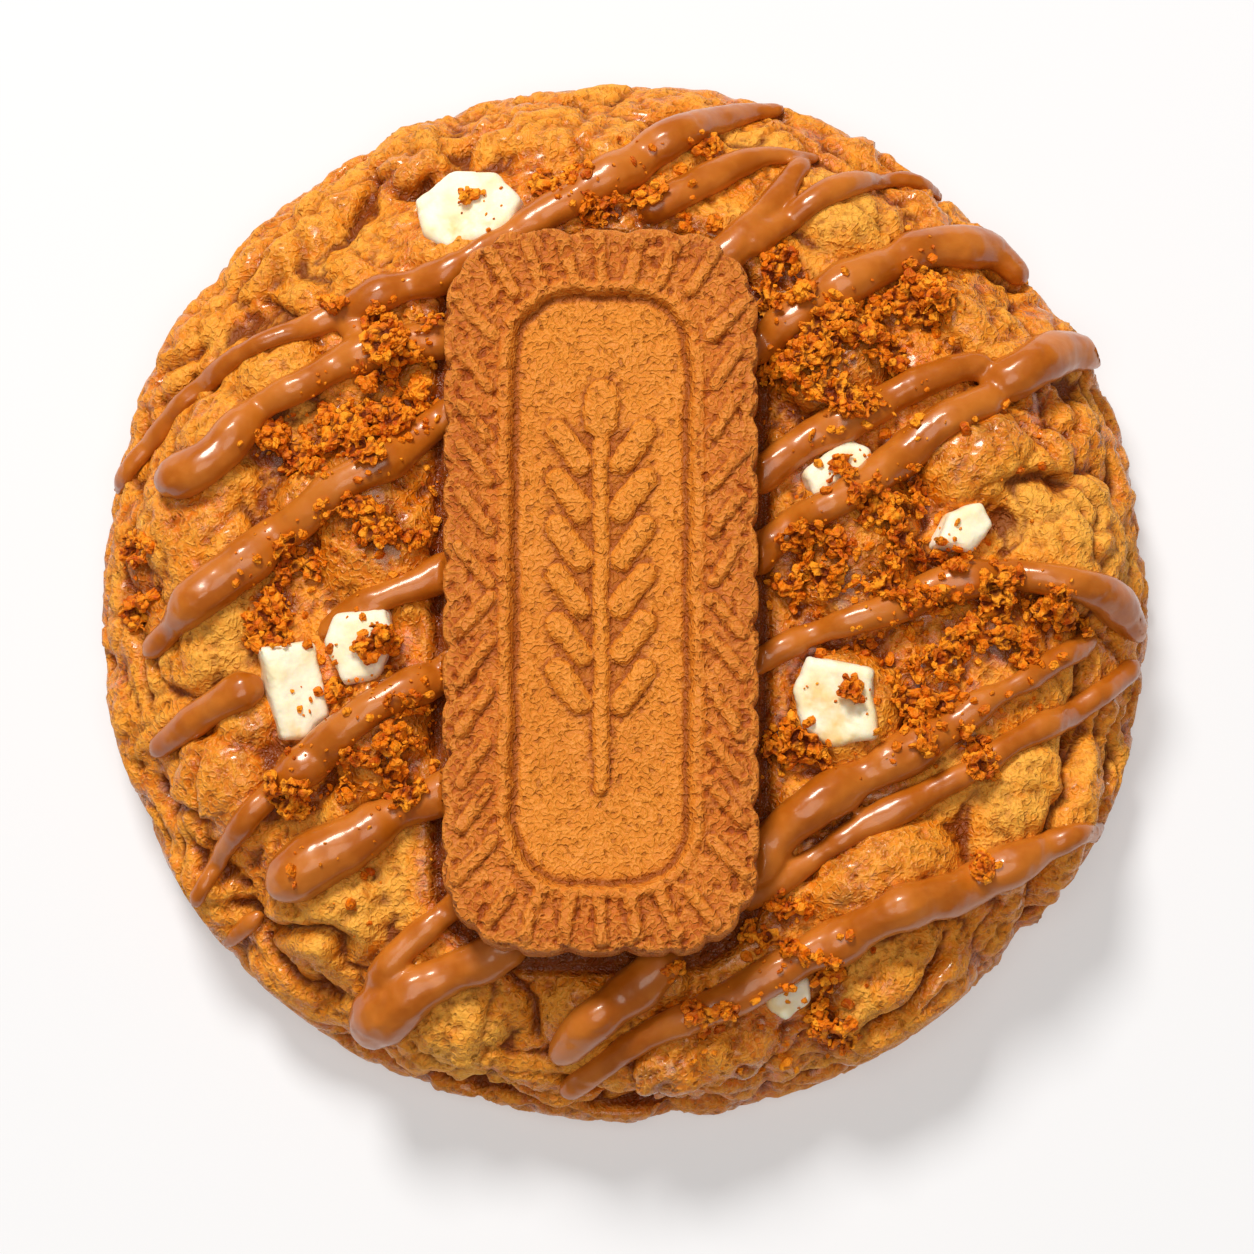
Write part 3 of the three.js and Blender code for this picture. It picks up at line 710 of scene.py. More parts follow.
# %% [markdown]
# ## Draping
# The chunks, the drizzle and the crumbs lie on or in whatever is under them. A Shrinkwrap
# modifier would lay a whole piece down at once and flatten it. Here a ray is dropped for every
# station and grain instead: a tree of the dough's triangles answers how high the surface is at a
# place and which way it faces.

# %% Find the surface from above
def tree_of(objects):
    bm = bmesh.new()
    for obj in objects:
        bm.from_mesh(obj.data)
    tree = BVHTree.FromBMesh(bm)
    bm.free()
    return tree


dough_tree = tree_of([dough])
PULLS = (1, 0.99, 0.97, 0.94)  # just past the rim, a place is looked for a little further in


def ground(tree, x, y):
    """The place and the direction of the surface under x, y, or of the nearest rim."""
    for pull in PULLS:
        hit, normal, _, _ = tree.ray_cast(Vector((x * pull, y * pull, 60)) * MM, Vector((0, 0, -1)))
        if hit:
            return hit, normal
    return Vector((x * 0.9, y * 0.9, 8)) * MM, Vector((0, 0, 1))


print("dough at its middle, mm:", round(ground(dough_tree, 0, 0)[0].z / MM, 1))

# %% [markdown]
# ## White chocolate
# The seven chunks were broken from a thick bar: flat faces, soft edges, a few dents. Each starts
# as a copy of its solid, so that it has the same place and the same corners. The triangles are
# merged back into flat faces, the edges are bevelled, and a fine remesh lets a little noise dent
# the faces. `stain` marks where a chunk touches the dough.

# %% The chunks
CHUNKS = [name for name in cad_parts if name.startswith("white_chunk")]


def make_chunk(name):
    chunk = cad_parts[name].copy()
    chunk.data = chunk.data.copy()
    chunk.parent = None
    chunk.matrix_world = Matrix.Identity(4)
    chunk.name = chunk.data.name = name.replace("white_chunk", "chocolate")
    bpy.context.scene.collection.objects.link(chunk)
    only(chunk)
    bpy.ops.object.mode_set(mode="EDIT")
    bpy.ops.mesh.select_all(action="SELECT")
    bpy.ops.mesh.remove_doubles(threshold=0.01 * MM)
    bpy.ops.mesh.dissolve_limited(angle_limit=math.radians(3))
    bpy.ops.object.mode_set(mode="OBJECT")
    finish_modifier(chunk, "BEVEL", width=0.5 * MM, segments=2, limit_method="ANGLE",
                    angle_limit=math.radians(25))
    finish_modifier(chunk, "REMESH", mode="VOXEL", voxel_size=0.16 * MM)
    finish_modifier(chunk, "SMOOTH", factor=0.5, iterations=14)
    points, normals = places(chunk), directions(chunk)
    dents = 0.30 * lumps(points, 3.4, 31) + 0.07 * lumps(points, 0.8, 32)
    points += normals * (np.minimum(dents, 0.12) * MM)[:, None]
    put_places(chunk, points)
    depth = np.array([p[2] - ground(dough_tree, *(p[:2] / MM))[0].z for p in points]) / MM
    put_attribute(chunk, "stain", 1 - ramp(depth, 0.2, 1.5))
    shade_smooth(chunk)
    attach(chunk, "root")
    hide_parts(name)
    return chunk


chunks = [make_chunk(name) for name in CHUNKS]
print("chunks:", len(chunks), "points:", sum(len(c.data.vertices) for c in chunks))
loaded_tree = tree_of([dough] + chunks)

# %% [markdown]
# ## The drizzle
# Warm spread poured from a spoon falls in soft ropes, thick where the spoon slowed down, with a
# round bead where a rope ends. Each rope is a curve whose radius changes along it. A bevelled
# curve was chosen over an extruded circle, because its way and its radius are then plain numbers.

# %% Where the ropes run
# Each rope: x, y and half width in millimetres, along its way.
ROPES = {
    "far_long": [
        (16, 49.4, 0.8), (12, 48.2, 1.1), (9, 46.6, 1.8), (3.5, 43.5, 1.9), (-1.5, 40, 2.0),
        (-5.5, 37.4, 1.7), (-10, 35.2, 1.3), (-15, 32.7, 1.3), (-19, 30.4, 1.8),
        (-24, 28.3, 1.8), (-27.5, 26.6, 1.4), (-31.5, 24.8, 1.0), (-36.5, 23.2, 0.9),
        (-40, 21, 1.0), (-42.8, 19, 0.9), (-45.2, 16.3, 1.0), (-48, 14, 1.0), (-49.4, 11, 0.8),
    ],
    "left_second": [
        (-16, 24.2, 1.8), (-22.5, 23.8, 1.8), (-26.5, 22.3, 2.0), (-31.5, 19.6, 1.7),
        (-35.5, 17.6, 1.4), (-38.3, 13.8, 1.8), (-40, 11.2, 2.2), (-44.3, 9.6, 2.2),
    ],
    "left_link": [(-27.5, 26.4, 1.2), (-25.5, 24.6, 1.1), (-24, 23.2, 1.3)],
    "left_third": [
        (-16, 17.6, 1.7), (-19.8, 15, 1.8), (-22.5, 11.2, 1.7), (-27.3, 9, 1.9),
        (-30.5, 7, 1.9), (-34.6, 4.3, 2.1), (-38, 1, 2.4), (-41, -1.8, 1.9),
        (-43.5, -4.2, 1.4), (-46.2, -6, 1.4),
    ],
    "left_fourth": [
        (-15, 2.2, 1.8), (-20.5, -0.3, 1.7), (-24.5, -1.8, 1.4), (-27.8, -3.8, 1.3),
        (-29, -5.2, 1.1),
    ],
    "left_fourth_end": [
        (-34.6, -9.6, 1.8), (-36.5, -10.5, 2.1), (-39.3, -11.5, 2.0), (-42.2, -13.5, 1.8),
        (-45.6, -15, 1.4),
    ],
    "left_fifth": [
        (-15, -7, 2.1), (-20.5, -10.3, 2.0), (-24.3, -12.4, 2.1), (-27.3, -14.8, 2.2),
        (-30, -17.2, 2.2), (-33, -19.5, 1.3), (-36, -21.7, 1.2), (-38.5, -24.5, 1.2),
        (-40.6, -28, 1.0), (-41.6, -29.8, 0.9),
    ],
    "left_sixth": [
        (-15, -18.6, 1.9), (-20.5, -21.4, 2.0), (-24.8, -23.4, 2.5), (-28, -25.6, 2.9),
        (-31, -27.8, 3.0), (-33.1, -29.6, 2.8),
    ],
    "left_sixth_tail": [(-35, -30.8, 1.0), (-37.4, -32.3, 1.0), (-38.6, -33.4, 0.8)],
    "near_left_thin": [
        (-14, -29.4, 1.3), (-19, -32.6, 1.3), (-21.5, -35.2, 1.6), (-23.6, -38.6, 2.2),
    ],
    "near_left": [
        (-9, -34.2, 1.8), (-15.7, -36.8, 2.1), (-19.8, -38.6, 2.4), (-23, -40.6, 3.0),
        (-24.8, -41.9, 3.1),
    ],
    "near_middle": [
        (5, -35.6, 1.7), (3.4, -37.4, 1.9), (-0.4, -39.8, 2.2), (-4, -42.3, 2.4),
        (-6.2, -44.8, 2.0),
    ],
    "near_long": [
        (46.4, -22.3, 0.9), (44.2, -23.3, 1.0), (41.5, -24.6, 1.3), (38.3, -26.2, 1.7),
        (33.8, -28, 2.0), (29.4, -29.6, 2.1), (24.5, -31.4, 2.4), (20.7, -33.2, 2.4),
        (16.8, -35.6, 2.1), (13, -38, 1.8), (9.2, -39.6, 1.8), (6.3, -41, 1.4),
        (2.5, -42.5, 1.4), (-1.3, -44.7, 1.3), (-4.3, -46.8, 1.1), (-6.2, -48.1, 0.9),
    ],
    "right_sixth": [
        (11, -31, 1.1), (13.5, -29.6, 1.3), (16.8, -27.3, 1.3), (21.6, -24.3, 1.4),
        (26.4, -21.6, 1.4), (30.3, -19.4, 1.4), (33.7, -17.4, 1.3), (37.1, -15.4, 1.3),
        (41.2, -12.9, 1.4), (44.8, -10.8, 1.2), (47.6, -8.6, 1.1), (50, -6.2, 1.0),
    ],
    "right_fifth": [
        (10.5, -28.5, 1.9), (13.8, -25.6, 2.1), (16.8, -22.4, 2.4), (20.8, -19.5, 2.4),
        (24.5, -17.3, 2.1), (28.4, -15.5, 1.9), (31.8, -13.1, 1.7), (35.2, -10.7, 1.4),
        (39.2, -8.6, 1.3), (42.8, -6.4, 1.3), (45.8, -3.8, 1.2),
    ],
    "right_fourth": [
        (11, -8.2, 1.3), (13.8, -6.9, 1.3), (16.8, -5.3, 1.3), (21.7, -3.7, 1.4),
        (25.5, -2.2, 1.8), (29.5, -0.7, 1.8), (33.4, 0.6, 1.8), (38.2, 1.4, 1.4),
        (42, 1, 1.4), (45.4, 0.3, 1.8), (48.6, -1.4, 1.9), (50, -3.8, 1.1),
    ],
    "right_third": [
        (11, 1.6, 2.0), (15, 4.4, 2.0), (18, 6.7, 1.9), (21.2, 8, 1.8), (24.2, 10.5, 1.9),
        (27.2, 13, 2.0), (30.6, 15.6, 1.9), (33.6, 17.3, 1.8), (36.8, 18.9, 1.4),
    ],
    "right_second": [
        (11, 9.4, 1.9), (13.8, 11.2, 1.9), (16.9, 13.3, 1.8), (20.8, 15.8, 1.9),
        (24.7, 18, 1.7), (28.6, 20.2, 1.7), (32.6, 21.6, 1.3), (35.8, 22.5, 1.2),
    ],
    "right_second_end": [
        (34.6, 19.6, 1.9), (38, 21.6, 2.4), (41, 23.2, 2.5), (44, 24.6, 2.2), (46, 23.4, 1.4),
    ],
    "right_first": [
        (11, 22, 1.8), (13.6, 23.9, 1.8), (17, 26.3, 1.9), (20.4, 28.8, 2.0), (24, 31, 2.1),
        (28, 32.7, 2.0), (31.2, 34, 2.1), (34, 34.2, 1.9), (37.4, 33.6, 1.4), (39.6, 31.6, 1.1),
    ],
    "far_fork": [
        (8, 30.6, 2.1), (10.5, 33.2, 2.1), (13.2, 36.4, 1.4), (15.7, 39.8, 1.2),
        (18, 42.3, 1.1),
    ],
    "far_fork_side": [
        (10.8, 32.9, 1.9), (15.2, 35.4, 1.4), (19.1, 38.1, 1.2), (22.2, 40, 1.1),
        (26.4, 41.7, 1.0), (29.4, 41.8, 0.8), (31.4, 41, 0.6),
    ],
    "far_middle": [
        (1.6, 36.6, 1.4), (5, 38, 1.7), (8, 39.6, 1.4), (11.4, 42, 1.3), (14.4, 43.3, 1.1),
        (17.3, 43, 0.9), (19.4, 43.4, 0.6),
    ],
}
ON_CHOCOLATE = ("right_third", "far_long")
print("ropes:", len(ROPES))

# %% [markdown]
# A rope rests on the ground found above, sunk in by part of its radius. It bridges narrow
# valleys, so each station also looks a little to its sides. The curves become meshes, and a voxel
# remesh fuses them into one skin, so that crossing ropes melt into each other.

# %% Lay the ropes on the dough
ROPE_STEP = 0.8
ROPE_LIFT = 0.48  # how far a rope's middle lies above the ground, as a share of its radius
BESIDE = ((0, 0), (0.7, 0), (-0.7, 0), (0, 0.7), (0, -0.7))  # in shares of the radius too
DRIZZLE_VOXEL = 0.335


def rope_stations(way):
    """Evenly spaced points along a smooth curve through the way, as x, y, radius."""
    way = np.array(way, dtype=float)
    gaps = np.hypot(*np.diff(way[:, :2], axis=0).T)
    along = np.concatenate([[0], np.cumsum(gaps)])
    at = np.linspace(0, along[-1], max(5, int(along[-1] / ROPE_STEP)))
    smooth = [np.interp(at, along, way[:, k]) for k in range(3)]
    for _ in range(4):
        for values in smooth:
            values[1:-1] = (values[:-2] + 2 * values[1:-1] + values[2:]) / 4
    return np.stack(smooth, axis=1)


def unsteady(stations, seed):
    """The pour speeds up and slows down, so the rope thins, thickens and strays a little."""
    places_mm = stations * MM
    places_mm[:, 2] = seed * MM
    stations[:, 0] += 0.45 * lumps(places_mm, 7, 43)
    stations[:, 1] += 0.45 * lumps(places_mm, 7, 44)
    stations[:, 2] *= 1 + 0.32 * lumps(places_mm, 5, 45)
    return stations


def rest_on(tree, x, y, radius):
    """The middle of a rope that rests at x, y: its own height, and the highest beside it."""
    samples = [ground(tree, x + dx * radius, y + dy * radius) for dx, dy in BESIDE]
    heights = sorted((place.z for place, _ in samples), reverse=True)
    facing = sum((normal for _, normal in samples), Vector()).normalized()
    rest = samples[0][0].copy()
    rest.z = 0.5 * samples[0][0].z + 0.5 * sum(heights[:3]) / 3
    return rest + facing * ROPE_LIFT * radius * MM


def make_rope(name, way):
    tree = loaded_tree if name in ON_CHOCOLATE else dough_tree
    stations = unsteady(rope_stations(way), len(name))
    middle = np.array([rest_on(tree, x, y, radius) for x, y, radius in stations])
    for _ in range(2):
        middle[1:-1] = (middle[:-2] + 2 * middle[1:-1] + middle[2:]) / 4
    curve = bpy.data.curves.new(name, "CURVE")
    curve.dimensions = "3D"
    curve.bevel_depth = MM
    curve.bevel_resolution = 3
    curve.use_fill_caps = True
    spline = curve.splines.new("POLY")
    last = len(middle) - 1
    spline.points.add(last)
    for i, (point, (_, _, radius)) in enumerate(zip(spline.points, stations)):
        from_end = min(i, last - i) * ROPE_STEP
        point.co = (*middle[i], 1)
        point.radius = radius * math.sqrt(min(1, (from_end + 0.2 * radius) / radius))
    rope = bpy.data.objects.new(name, curve)
    bpy.context.scene.collection.objects.link(rope)
    return rope


ropes = [make_rope(name, way) for name, way in ROPES.items()]
deselect()
for rope in ropes:
    rope.select_set(True)
bpy.context.view_layer.objects.active = ropes[0]
bpy.ops.object.convert(target="MESH")
drizzle = join(ropes, "drizzle")
finish_modifier(drizzle, "REMESH", mode="VOXEL", voxel_size=DRIZZLE_VOXEL * MM)
finish_modifier(drizzle, "SMOOTH", factor=0.5, iterations=6)
print("drizzle points:", len(drizzle.data.vertices))

# %% [markdown]
# While it sets, the spread sags a little under its own weight, and its skin ripples where the
# dough under it is uneven. Where a rope runs under the biscuit, it is pressed flat below it.

# %% Let the drizzle settle
SAG = 0.92


def settle_drizzle():
    points, normals = places(drizzle), directions(drizzle)
    ripple = 0.12 * lumps(points, 3.5, 41) + 0.04 * lumps(points, 1.1, 42)
    points += normals * ((ripple + 0.10) * MM)[:, None]
    below = np.array([ground(loaded_tree, *(p[:2] / MM))[0].z for p in points])
    above = points[:, 2] - below
    points[:, 2] = np.where(above > 0, below + SAG * above, points[:, 2])
    mm = points / MM
    under = beside_biscuit(mm[:, 0], mm[:, 1]) < 0.2
    points[:, 2] = np.where(under, np.minimum(points[:, 2], (BISCUIT["seat"] - 0.1) * MM),
                            points[:, 2])
    put_places(drizzle, keep_in_box(hold_within_rim(points, 0.3), "cookie"))


settle_drizzle()
shade_smooth(drizzle)
report(drizzle)

# %% [markdown]
# ## The speculoos biscuit
# These biscuits are pressed in a carved mould, so the outline is scalloped and the top carries
# raised slanting ribs, a raised frame and an ornament in the frame's hollow. The blank is an
# outline extruded, bevelled and remeshed fine. Its relief is then raised in code, because every
# edge of it is as soft as baked dough.

# %% The biscuit's blank
BISCUIT_VOXEL = 0.195
SCALLOP_NOTCH = 0.62
EDGE_ROUNDING = 2.2
CORNER_STEPS = 24
PANEL = {
    "width": 17.6, "length": 57.4, "corner": 6.2, "depth": 0.62,
    "ridge_width": 0.5, "ridge_rise": 0.46, "groove": 0.22,
}


def fluted_outline(count):
    """Evenly spaced points round the biscuit, anticlockwise, with a notch between scallops."""
    w, l = BISCUIT["width"] / 2, BISCUIT["length"] / 2
    r = BISCUIT["corner"]
    corners = [(w - r, -l + r, -90), (w - r, l - r, 0), (-w + r, l - r, 90), (-w + r, -l + r, 180)]
    fine = []
    for cx, cy, start in corners:
        for k in range(CORNER_STEPS + 1):
            a = math.radians(start + 90 * k / CORNER_STEPS)
            fine.append((cx + r * math.cos(a), cy + r * math.sin(a)))
    fine = np.array(fine + [fine[0]])
    gaps = np.hypot(*np.diff(fine, axis=0).T)
    along = np.concatenate([[0], np.cumsum(gaps)])
    at = np.linspace(0, along[-1], count, endpoint=False)
    ring = np.stack([np.interp(at, along, fine[:, k]) for k in (0, 1)], axis=1)
    step = np.roll(ring, -1, axis=0) - np.roll(ring, 1, axis=0)
    outward = np.stack([step[:, 1], -step[:, 0]], axis=1)
    outward /= np.hypot(*outward.T)[:, None]
    phase = at / along[-1] * BISCUIT["scallops"]
    phase = phase + 0.18 * np.sin(phase * 0.9)
    uneven = 0.7 + 0.6 * np.abs(np.sin(phase * 1.7 + 0.6))
    notch = (1 - np.abs(np.sin(math.pi * phase))) ** 1.8
    return ring - outward * (SCALLOP_NOTCH * uneven * notch)[:, None]


def make_blank():
    ring = fluted_outline(480)
    bm = bmesh.new()
    bm.faces.new([bm.verts.new((x * MM, y * MM, 0)) for x, y in ring])
    blank = only(object_from(bm, "biscuit_relief"))
    bpy.ops.object.mode_set(mode="EDIT")
    bpy.ops.mesh.select_all(action="SELECT")
    bpy.ops.mesh.extrude_region_move(
        TRANSFORM_OT_translate={"value": (0, 0, BISCUIT["thickness"] * MM)})
    bpy.ops.mesh.select_all(action="SELECT")
    bpy.ops.mesh.normals_make_consistent(inside=False)
    bpy.ops.object.mode_set(mode="OBJECT")
    finish_modifier(blank, "BEVEL", width=EDGE_ROUNDING * MM, segments=6, limit_method="ANGLE",
                    angle_limit=math.radians(50))
    finish_modifier(blank, "REMESH", mode="VOXEL", voxel_size=BISCUIT_VOXEL * MM)
    finish_modifier(blank, "SMOOTH", factor=0.5, iterations=6)
    return blank


biscuit = make_blank()
flatten_underside(biscuit, 0.3)
report(biscuit)

# %% [markdown]
# Each piece of relief is a rounded stroke: a line with a width and a rise. How close a point of
# the top is to the line says how far it is raised. The ribs fan away from the middle of the
# biscuit, like the veins of a leaf, and the ornament is an ear of wheat.

# %% Strokes of the relief
RIB = {
    "length": 4.7, "width": 0.66, "rise": 0.52, "slant": 52, "per_side": 12, "per_end": 7,
    "seed": 3,
}
EAR = {
    "stem_width": 0.75, "tip_width": 1.5, "grain_width": 1.2, "rise": 0.62,
    "pairs": 6, "first_pair": -10.5, "step": 4.6,
}


def stroke_lift(x, y, x0, y0, x1, y1, width):
    """1 on the line from x0, y0 to x1, y1, with round sides down to 0 at width from it."""
    dx, dy = x1 - x0, y1 - y0
    t = np.clip(((x - x0) * dx + (y - y0) * dy) / (dx * dx + dy * dy), 0, 1)
    apart = np.hypot(x - x0 - t * dx, y - y0 - t * dy) / width
    return np.sqrt(np.maximum(0, 1 - apart ** 3))


def rib_lines():
    """Both ends of each rib of the border, and how deep the groove along it is."""
    draw = random_from(RIB["seed"])
    across = (BISCUIT["width"] + PANEL["width"]) / 4 + 0.1
    along = (BISCUIT["length"] + PANEL["length"]) / 4 - 0.1
    lines = []

    def add(x, y, dx, dy, length):
        half = length * (0.85 + 0.25 * draw()) / 2
        ends = (x - dx * half, y - dy * half, x + dx * half, y + dy * half)
        lines.append((ends, 0.25 * max(0, draw() - 0.5)))

    for i in range(RIB["per_side"]):
        y = (PANEL["length"] / 2 - 3) * (2 * i / (RIB["per_side"] - 1) - 1)
        for side in (-1, 1):
            lean = math.radians(RIB["slant"] + 12 * (draw() - 0.5)) * (1 if y > 0 else -1)
            add(side * across, y + 1.0 * (draw() - 0.5), side * math.cos(lean), math.sin(lean),
                RIB["length"])
    for i in range(RIB["per_end"]):
        x = 9.6 * (2 * i / (RIB["per_end"] - 1) - 1)
        for end in (-1, 1):
            lean = math.radians(90 - 3.4 * x + 10 * (draw() - 0.5))
            add(x, end * (along - 0.012 * x * x), math.cos(lean), end * math.sin(lean),
                RIB["length"] * 0.9)
    return lines


def ear_strokes():
    """The ear of wheat: its stem, the grain at its tip and pairs of grains, each with a width."""
    strokes = [(0, -19, 0, 14, EAR["stem_width"]), (0, 15.8, 0, 18.6, EAR["tip_width"])]
    for i in range(EAR["pairs"]):
        y = EAR["first_pair"] + EAR["step"] * i
        for side in (-1, 1):
            strokes.append((side * 1.9, y - 0.5, side * 4.1, y + 2.5, EAR["grain_width"]))
    return strokes


def panel_distance(x, y):
    return outside_of(x, y, PANEL["width"], PANEL["length"], PANEL["corner"])


def relief_height(x, y, points):
    """How far the mould raised or sank the top at each place, in millimetres."""
    panel = panel_distance(x, y)
    ridge = PANEL["ridge_rise"] * np.exp(-((panel - 0.45) / PANEL["ridge_width"]) ** 4)
    ridge *= 0.8 + 0.6 * lumps(points, 5, 58)
    ridge -= PANEL["groove"] * np.exp(-((panel + 0.75) / 0.35) ** 2)
    inside = 1 - ramp(panel, -0.6, 0.0)
    raised = np.zeros(len(x))
    for ends, groove in rib_lines():
        rib = RIB["rise"] * stroke_lift(x, y, *ends, RIB["width"])
        rib -= groove * stroke_lift(x, y, *ends, RIB["width"] * 0.5)
        raised = np.maximum(raised, rib)
    for x0, y0, x1, y1, width in ear_strokes():
        raised = np.maximum(raised, EAR["rise"] * stroke_lift(x, y, x0, y0, x1, y1, width))
    return ridge - PANEL["depth"] * inside + raised


print("strokes of the relief:", len(rib_lines()) + len(ear_strokes()))

# %% [markdown]
# The relief is wanted on the top alone, fading out over the rounded edge. Dough never fills a
# mould evenly, so every place looks up its relief at a slightly shifted one, and the strokes
# waver. Fine wrinkles and pits go over everything. Last, the biscuit is set down on its seat, and
# its attributes are measured: creases, for painted shade, proud strokes, for painted highlight,
# the panel and the browner edge.

# %% Carve the biscuit
def carve_biscuit():
    points, normals = places(biscuit), directions(biscuit)
    x, y, z = (points / MM).T
    top = ramp(z, BISCUIT["thickness"] - 2.4, BISCUIT["thickness"] - 0.3) * (normals[:, 2] > 0)
    bent_x = x + 0.25 * lumps(points, 4, 51) + 0.08 * lumps(points, 1.2, 59)
    bent_y = y + 0.25 * lumps(points, 4, 52) + 0.08 * lumps(points, 1.2, 60)
    relief = relief_height(bent_x, bent_y, points) + 0.08 * lumps(points, 7, 53)
    wrinkles = 1 - np.abs(lumps(points, 1.2, 54, 1)) * 3
    outward = 0.07 * np.maximum(wrinkles, -0.5) + 0.06 * lumps(points, 2.4, 55)
    pits = ramp(lumps(points, 1.1, 56), 0.34, 0.5)
    outward -= 0.30 * pits * (0.3 + 0.7 * ramp(panel_distance(x, y), -1.2, 0.4))
    points[:, 2] += (relief * top - 0.30 * top) * MM
    points += normals * (np.clip(outward, -0.5, 0.14) * MM)[:, None]
    points += np.array([BISCUIT["x"], BISCUIT["y"], BISCUIT["seat"] + 0.05]) * MM
    points = keep_in_box(points, "biscuit")
    put_places(biscuit, points)
    fine, deep = sunk_below(biscuit, points, 4, 30)
    # hollow marks the relief's creases for painted shade, and proud its strokes for painted
    # highlight.
    hollow = ramp(fine, 0.02, 0.10) * 0.5 + ramp(deep, 0.05, 0.25) * 0.7
    put_attribute(biscuit, "hollow", np.clip(hollow, 0, 1))
    put_attribute(biscuit, "proud", ramp(-deep, 0.03, 0.2))
    put_attribute(biscuit, "panel", (1 - ramp(panel_distance(x, y), -0.8, 0.6)) * top)
    edge = ramp(beside_biscuit(points[:, 0] / MM, points[:, 1] / MM), -4.5, -0.3)
    put_attribute(biscuit, "edge", np.maximum(edge, 1 - top))


carve_biscuit()
shade_smooth(biscuit)
print("biscuit top, mm:", round(places(biscuit)[:, 2].max() / MM, 2))

# %% [markdown]
# ## Crumbs
# Crushed speculoos is a mix of angular grains and dust that clumps where butter holds it. The
# heaps lie beside the biscuit and in the valleys, and loose grains lie between them. A particle
# system would scatter grains evenly. The real ones don't lie evenly, so each heap has its place.

